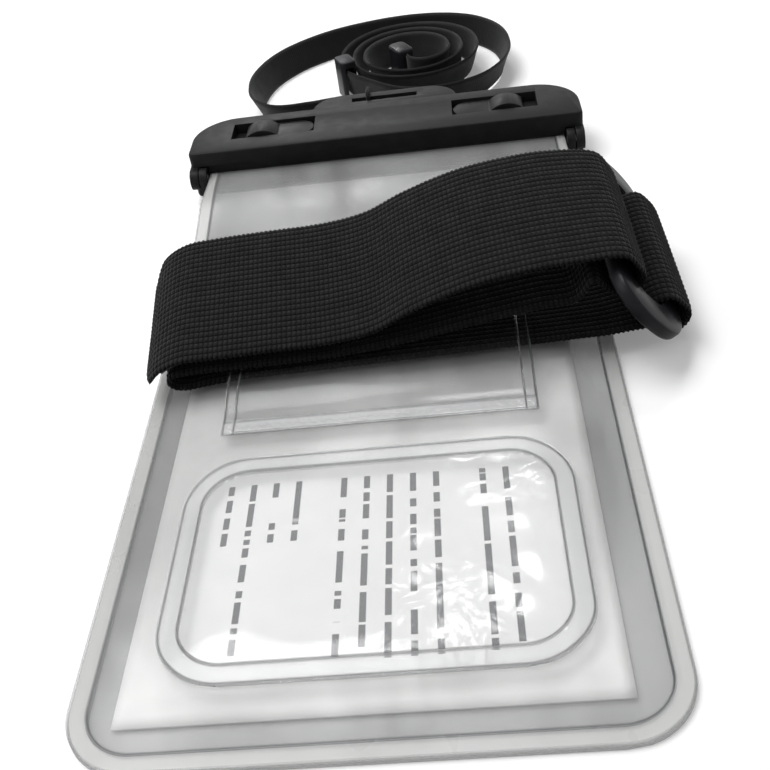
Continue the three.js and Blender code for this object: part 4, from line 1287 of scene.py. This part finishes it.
def make_ribbon(material):
    """The flat ribbon, standing on edge with a soft lean that changes along it."""
    size = sizes()
    points = ribbon_points()
    steps, across_steps = 620, 10
    shares = even_shares(points, steps)[0]
    path = [curve_point(points, share) for share in shares]
    half = size.ribbon_thickness / 2

    def place(column, row):
        centre = path[row]
        way = (path[min(row + 1, steps)] - path[max(row - 1, 0)]).normalized()
        side = Vector((0, 0, 1)).cross(way).normalized()
        face, across = strip_side(column, across_steps)
        edge = abs(2 * across - 1)
        fade = smoothstep(min(row, steps - row) / 24)
        lean = fade * (0.24 + 0.14 * math.sin(row / steps * 23))
        wave = 0.25 * MM * fade * noise.noise(Vector((row * 0.05, across * 2, 1.0)))
        out = face * half * (0.62 if edge == 1 else 1.0 if edge > 0.75 else 0.82)
        if edge == 1:
            out = 0.0
        up = (across - HALF) * size.ribbon_width
        point = centre + side * (out + up * math.sin(lean) + wave) + Vector((0, 0, up * math.cos(lean)))
        return point, float(edge > 0.75)

    bm = closed_strip(2 * across_steps, steps, place)
    piece = finish_mesh(bm, "lanyard_ribbon_weave", material, "ribbon", BODY, ["lanyard_ribbon"])
    return piece, path


def make_tether(material):
    """The thin braided cord through the lug."""
    size = sizes()
    points = [from_lug(*point) for point in TETHER_ROUTE]
    steps, around = 110, 12
    shares = even_shares(points, steps)[0]
    path = [curve_point(points, share) for share in shares]
    ways = [(path[min(i + 1, steps)] - path[max(i - 1, 0)]).normalized() for i in range(steps + 1)]
    sides = [ways[0].orthogonal().normalized()]
    for way in ways[1:]:
        sides.append((sides[-1] - way * sides[-1].dot(way)).normalized())

    def place(column, row):
        angle = 2 * math.pi * column / around
        braid = math.cos(4 * angle + row * 1.1) * math.cos(4 * angle - row * 1.1)
        radius = size.tether_thickness / 2 * (0.94 + 0.06 * braid)
        second = ways[row].cross(sides[row])
        spoke = sides[row] * math.cos(angle) + second * math.sin(angle)
        return path[row] + spoke * radius, HALF + HALF * braid

    bm = closed_strip(around, steps, place)
    piece = finish_mesh(bm, "lanyard_tether_braid", material, "ribbon", BODY, ["lanyard_tether"])
    return piece, path


# Stage

CAMERA_PLACE = Vector((22.77, -96.10, 153.07)) * MM
CAMERA_DOWN = math.radians(38.55)
CAMERA_YAW = math.radians(-6.65)
CAMERA_ROLL = math.radians(-9.27)
PHOTO_PIXELS = 770
FOCAL_PIXELS = 1095.4
SENSOR = 36.0


def make_camera():
    """The camera at the photograph's viewing angle."""
    ahead = Vector((
        math.sin(CAMERA_YAW) * math.cos(CAMERA_DOWN),
        math.cos(CAMERA_YAW) * math.cos(CAMERA_DOWN),
        -math.sin(CAMERA_DOWN),
    ))
    level = Vector((math.cos(CAMERA_YAW), -math.sin(CAMERA_YAW), 0))
    upright = level.cross(ahead)
    right = level * math.cos(CAMERA_ROLL) + upright * math.sin(CAMERA_ROLL)
    up = upright * math.cos(CAMERA_ROLL) - level * math.sin(CAMERA_ROLL)
    data = bpy.data.cameras.new("camera")
    data.sensor_width = SENSOR
    data.lens = FOCAL_PIXELS / PHOTO_PIXELS * SENSOR
    data.clip_start = 0.005
    camera = bpy.data.objects.new("camera", data)
    turned = Matrix((right, up, -ahead)).transposed().to_4x4()
    camera.matrix_world = Matrix.Translation(CAMERA_PLACE + Vector((BAG_X, BAG_Y, 0))) @ turned
    bpy.context.scene.collection.objects.link(camera)
    bpy.context.scene.camera = camera


def make_light(name, place, target, width, length, power):
    """A soft rectangular lamp that faces a point."""
    data = bpy.data.lights.new(name, "AREA")
    data.shape = "RECTANGLE"
    data.size, data.size_y, data.energy = width, length, power
    lamp = bpy.data.objects.new(name, data)
    lamp.location = place
    lamp.rotation_euler = (Vector(target) - Vector(place)).to_track_quat("-Z", "Y").to_euler()
    bpy.context.scene.collection.objects.link(lamp)


def seen_ray(tree):
    """1 where the camera sees a background by itself, in a reflection or through glass."""
    rays = node(tree, "ShaderNodeLightPath").outputs
    direct = maths(tree, "MAXIMUM", rays["Is Camera Ray"], rays["Is Transmission Ray"])
    return maths(tree, "MAXIMUM", direct, rays["Is Glossy Ray"])


def build_floor(tree, shader):
    """Pale floor, which the camera sees near white with the object's shadow on it."""
    plain = seen_ray(tree)
    feed(tree, shader, Base_Color=(0.82, 0.82, 0.82, 1.0), Roughness=0.9)
    shader.inputs["Specular IOR Level"].default_value = 0.0
    shader.inputs["Emission Color"].default_value = (1, 1, 1, 1)
    away = vector_maths(tree, "LENGTH", object_place(tree), output="Value")
    pale = remap(tree, away, 0.3, 1.3, 0.2, 0.9)
    tree.links.new(maths(tree, "MULTIPLY", plain, pale), shader.inputs["Emission Strength"])


def make_floor():
    """The floor under the pouch."""
    bm = bmesh.new()
    bmesh.ops.create_grid(bm, x_segments=1, y_segments=1, size=2.5)
    bmesh.ops.translate(bm, vec=(0, 0, -0.05 * MM), verts=bm.verts)
    mesh = bpy.data.meshes.new("floor")
    bm.to_mesh(mesh)
    bm.free()
    mesh.materials.append(material_of("pale_floor", build_floor))
    floor = bpy.data.objects.new("floor", mesh)
    bpy.context.scene.collection.objects.link(floor)
    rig.stage(floor)


def make_world():
    """Soft grey light from all round, and white where the camera sees past the floor."""
    world = bpy.data.worlds.new("studio")
    world.use_nodes = True
    tree = world.node_tree
    tree.nodes.clear()
    plain = seen_ray(tree)
    outwards = node(tree, "ShaderNodeTexCoord").outputs["Generated"]
    direction = node(tree, "ShaderNodeSeparateXYZ", {0: outwards})
    from_back = remap(tree, direction.outputs["Y"], -0.6, 0.8, 0.26, 0.36)
    unseen = maths(tree, "SUBTRACT", 1.0, plain)
    strength = maths(tree, "ADD", plain, maths(tree, "MULTIPLY", unseen, from_back))
    light = node(tree, "ShaderNodeBackground", {"Color": (1, 1, 1, 1), "Strength": strength})
    node(tree, "ShaderNodeOutputWorld", {"Surface": light.outputs[0]})
    bpy.context.scene.world = world


class PouchMakeStage(bpy.types.Operator):
    """Make the camera, the lamps, the world and the floor"""

    bl_idname = "pouch.make_stage"
    bl_label = "Make stage"

    def execute(self, context):
        context.scene.view_settings.view_transform = "Standard"
        make_camera()
        make_world()
        make_light("top_lamp", (-0.25, 0.1, 0.7), (0, 0, 0), 0.45, 0.35, 4.1)
        make_light("side_lamp", (-0.6, -0.15, 0.5), (0, 0, 0), 0.35, 0.35, 1.2)
        make_light("neck_glint", (-0.15, 0.72, 0.36), (-0.02, 0.02, 0), 0.16, 0.06, 0.6)
        make_light("window_glint", (0.03, 0.34, 0.54), (0.02, -0.12, 0), 0.12, 0.09, 0.5)
        make_floor()
        return {"FINISHED"}


class PouchMakeLanyard(bpy.types.Operator):
    """Make the lanyard's ribbon, tether and fittings"""

    bl_idname = "pouch.make_lanyard"
    bl_label = "Make lanyard"

    def execute(self, context):
        weave = material_of("ribbon_weave", build_ribbon)
        gloss = material_of("ring_plastic", build_ring_plastic)
        crimp = paint_node("lanyard_crimp", material_of("drawn_steel", build_steel))
        slider = dressed_copy("lanyard_slider", gloss, "ring_plastic", BODY, 0.3 * MM)
        clasp = dressed_copy("lanyard_clasp", gloss, "ring_plastic", BODY, 0.3 * MM)
        tether, tether_path = make_tether(weave)
        ribbon, ribbon_path = make_ribbon(weave)
        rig.cord(
            tether, exit=tether_path[0], length=TETHER_LENGTH, diameter=sizes().tether_thickness,
            far_end="object", stiffness="limp", lay="taut", path=tether_path, with_pieces=[crimp],
        )
        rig.cord(
            ribbon, exit=ribbon_path[0], length=RIBBON_LENGTH, diameter=sizes().ribbon_width,
            far_end="fitting", stiffness="limp", lay="coiled", path=ribbon_path, with_pieces=[slider, clasp],
        )
        return {"FINISHED"}


class PouchMakeBag(bpy.types.Operator):
    """Make the two films of the bag and the paper insert"""

    bl_idname = "pouch.make_bag"
    bl_label = "Make bag"

    def execute(self, context):
        back = material_of("lower_film", build_lower_film)
        finish_mesh(lower_film_bm(), "lower_film_skin", back, "frosted_film", BODY, ["lower_film"])
        frosted = material_of("upper_film", build_upper_film)
        finish_mesh(upper_film_bm(), "upper_film_skin", frosted, "frosted_film", BODY, ["upper_film"])
        paper = material_of("insert_paper", build_paper)
        finish_mesh(insert_bm(), "paper_insert_sheet", paper, "paper", BODY, ["paper_insert"])
        return {"FINISHED"}


class PouchMakeWindow(bpy.types.Operator):
    """Make the clear window and the clear sleeve of the armband"""

    bl_idname = "pouch.make_window"
    bl_label = "Make window and sleeve"

    def execute(self, context):
        window = material_of("clear_window", build_clear_window)
        finish_mesh(window_bm(), "window_film_skin", window, "clear_film", BODY, ["window_film"])
        sleeve = material_of("clear_sleeve", build_clear_sleeve)
        finish_mesh(sleeve_bm(), "armband_sleeve_skin", sleeve, "clear_film", BODY, ["armband_sleeve"])
        return {"FINISHED"}


class PouchMakeClamp(bpy.types.Operator):
    """Make the clamp bar's jaws, seal, pins and latches"""

    bl_idname = "pouch.make_clamp"
    bl_label = "Make clamp bar"

    def execute(self, context):
        satin = material_of("clamp_plastic", build_clamp_plastic)
        dressed_copy("clamp_rear_jaw", satin, "clamp_plastic", BODY)
        dressed_copy("clamp_front_jaw", satin, "clamp_plastic", "front_jaw")
        rubbed = material_of("latch_plastic", build_latch_plastic)
        dressed_copy("latch_left", rubbed, "latch_plastic", "left_latch", 0.3 * MM, 3)
        dressed_copy("latch_right", rubbed, "latch_plastic", "right_latch", 0.3 * MM, 3)
        steel = material_of("drawn_steel", build_steel)
        dressed_copy("hinge_pin_left", steel, "steel", BODY, 0.15 * MM)
        dressed_copy("hinge_pin_right", steel, "steel", BODY, 0.15 * MM)
        dressed_copy("seal_strip", material_of("seal_rubber", build_rubber), "seal_rubber", BODY, 0.3 * MM)
        return {"FINISHED"}


class PouchMakeArmband(bpy.types.Operator):
    """Make the armband's webbing, its hook patch and the slider ring"""

    bl_idname = "pouch.make_armband"
    bl_label = "Make armband"

    def execute(self, context):
        knit = material_of("knitted_webbing", build_webbing)
        finish_mesh(webbing_bm(), "armband_webbing_knit", knit, "webbing", BODY, ["armband_webbing"])
        hooks = material_of("hook_tape", build_hook_tape)
        finish_mesh(patch_bm(), "hook_patch_tape", hooks, "hook_tape", BODY, ["hook_patch"])
        gloss = material_of("ring_plastic", build_ring_plastic)
        dressed_copy("slider_ring", gloss, "ring_plastic", BODY, 0.35 * MM, 2)
        return {"FINISHED"}


OPERATORS = (
    PouchMakeStage, PouchMakeLanyard, PouchMakeBag, PouchMakeWindow, PouchMakeClamp, PouchMakeArmband,
)


class PouchPanel(bpy.types.Panel):
    """The pouch's steps, sizes and colours"""

    bl_idname = "VIEW3D_PT_phone_pouch"
    bl_label = "Phone pouch"
    bl_space_type = "VIEW_3D"
    bl_region_type = "UI"
    bl_category = "Phone pouch"

    def draw(self, context):
        for step in OPERATORS:
            self.layout.operator(step.bl_idname)
        for values in (context.scene.pouch_sizes, context.scene.pouch_colours):
            box = self.layout.box()
            for name in values.__annotations__:
                box.prop(values, name)


CLASSES = (PouchSizes, PouchColours, *OPERATORS, PouchPanel)


def register():
    """Registers the classes and the values on the scene."""
    for cls in CLASSES:
        bpy.utils.register_class(cls)
    bpy.types.Scene.pouch_sizes = bpy.props.PointerProperty(type=PouchSizes)
    bpy.types.Scene.pouch_colours = bpy.props.PointerProperty(type=PouchColours)


def unregister():
    """Takes the values and the classes away again."""
    del bpy.types.Scene.pouch_colours
    del bpy.types.Scene.pouch_sizes
    for cls in reversed(CLASSES):
        bpy.utils.unregister_class(cls)


def main():
    """Makes the whole pouch and writes both boxes."""
    register()
    bpy.ops.pouch.make_stage()
    bpy.ops.pouch.make_lanyard()
    bpy.ops.pouch.make_bag()
    bpy.ops.pouch.make_window()
    bpy.ops.pouch.make_clamp()
    bpy.ops.pouch.make_armband()
    boxes = {"cad": cad_box, "visual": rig.bounds()}
    plain = {name: [[float(value) for value in corner] for corner in box] for name, box in boxes.items()}
    with open("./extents.json", "w") as file:
        json.dump(plain, file)


if __name__ == "__main__":
    main()
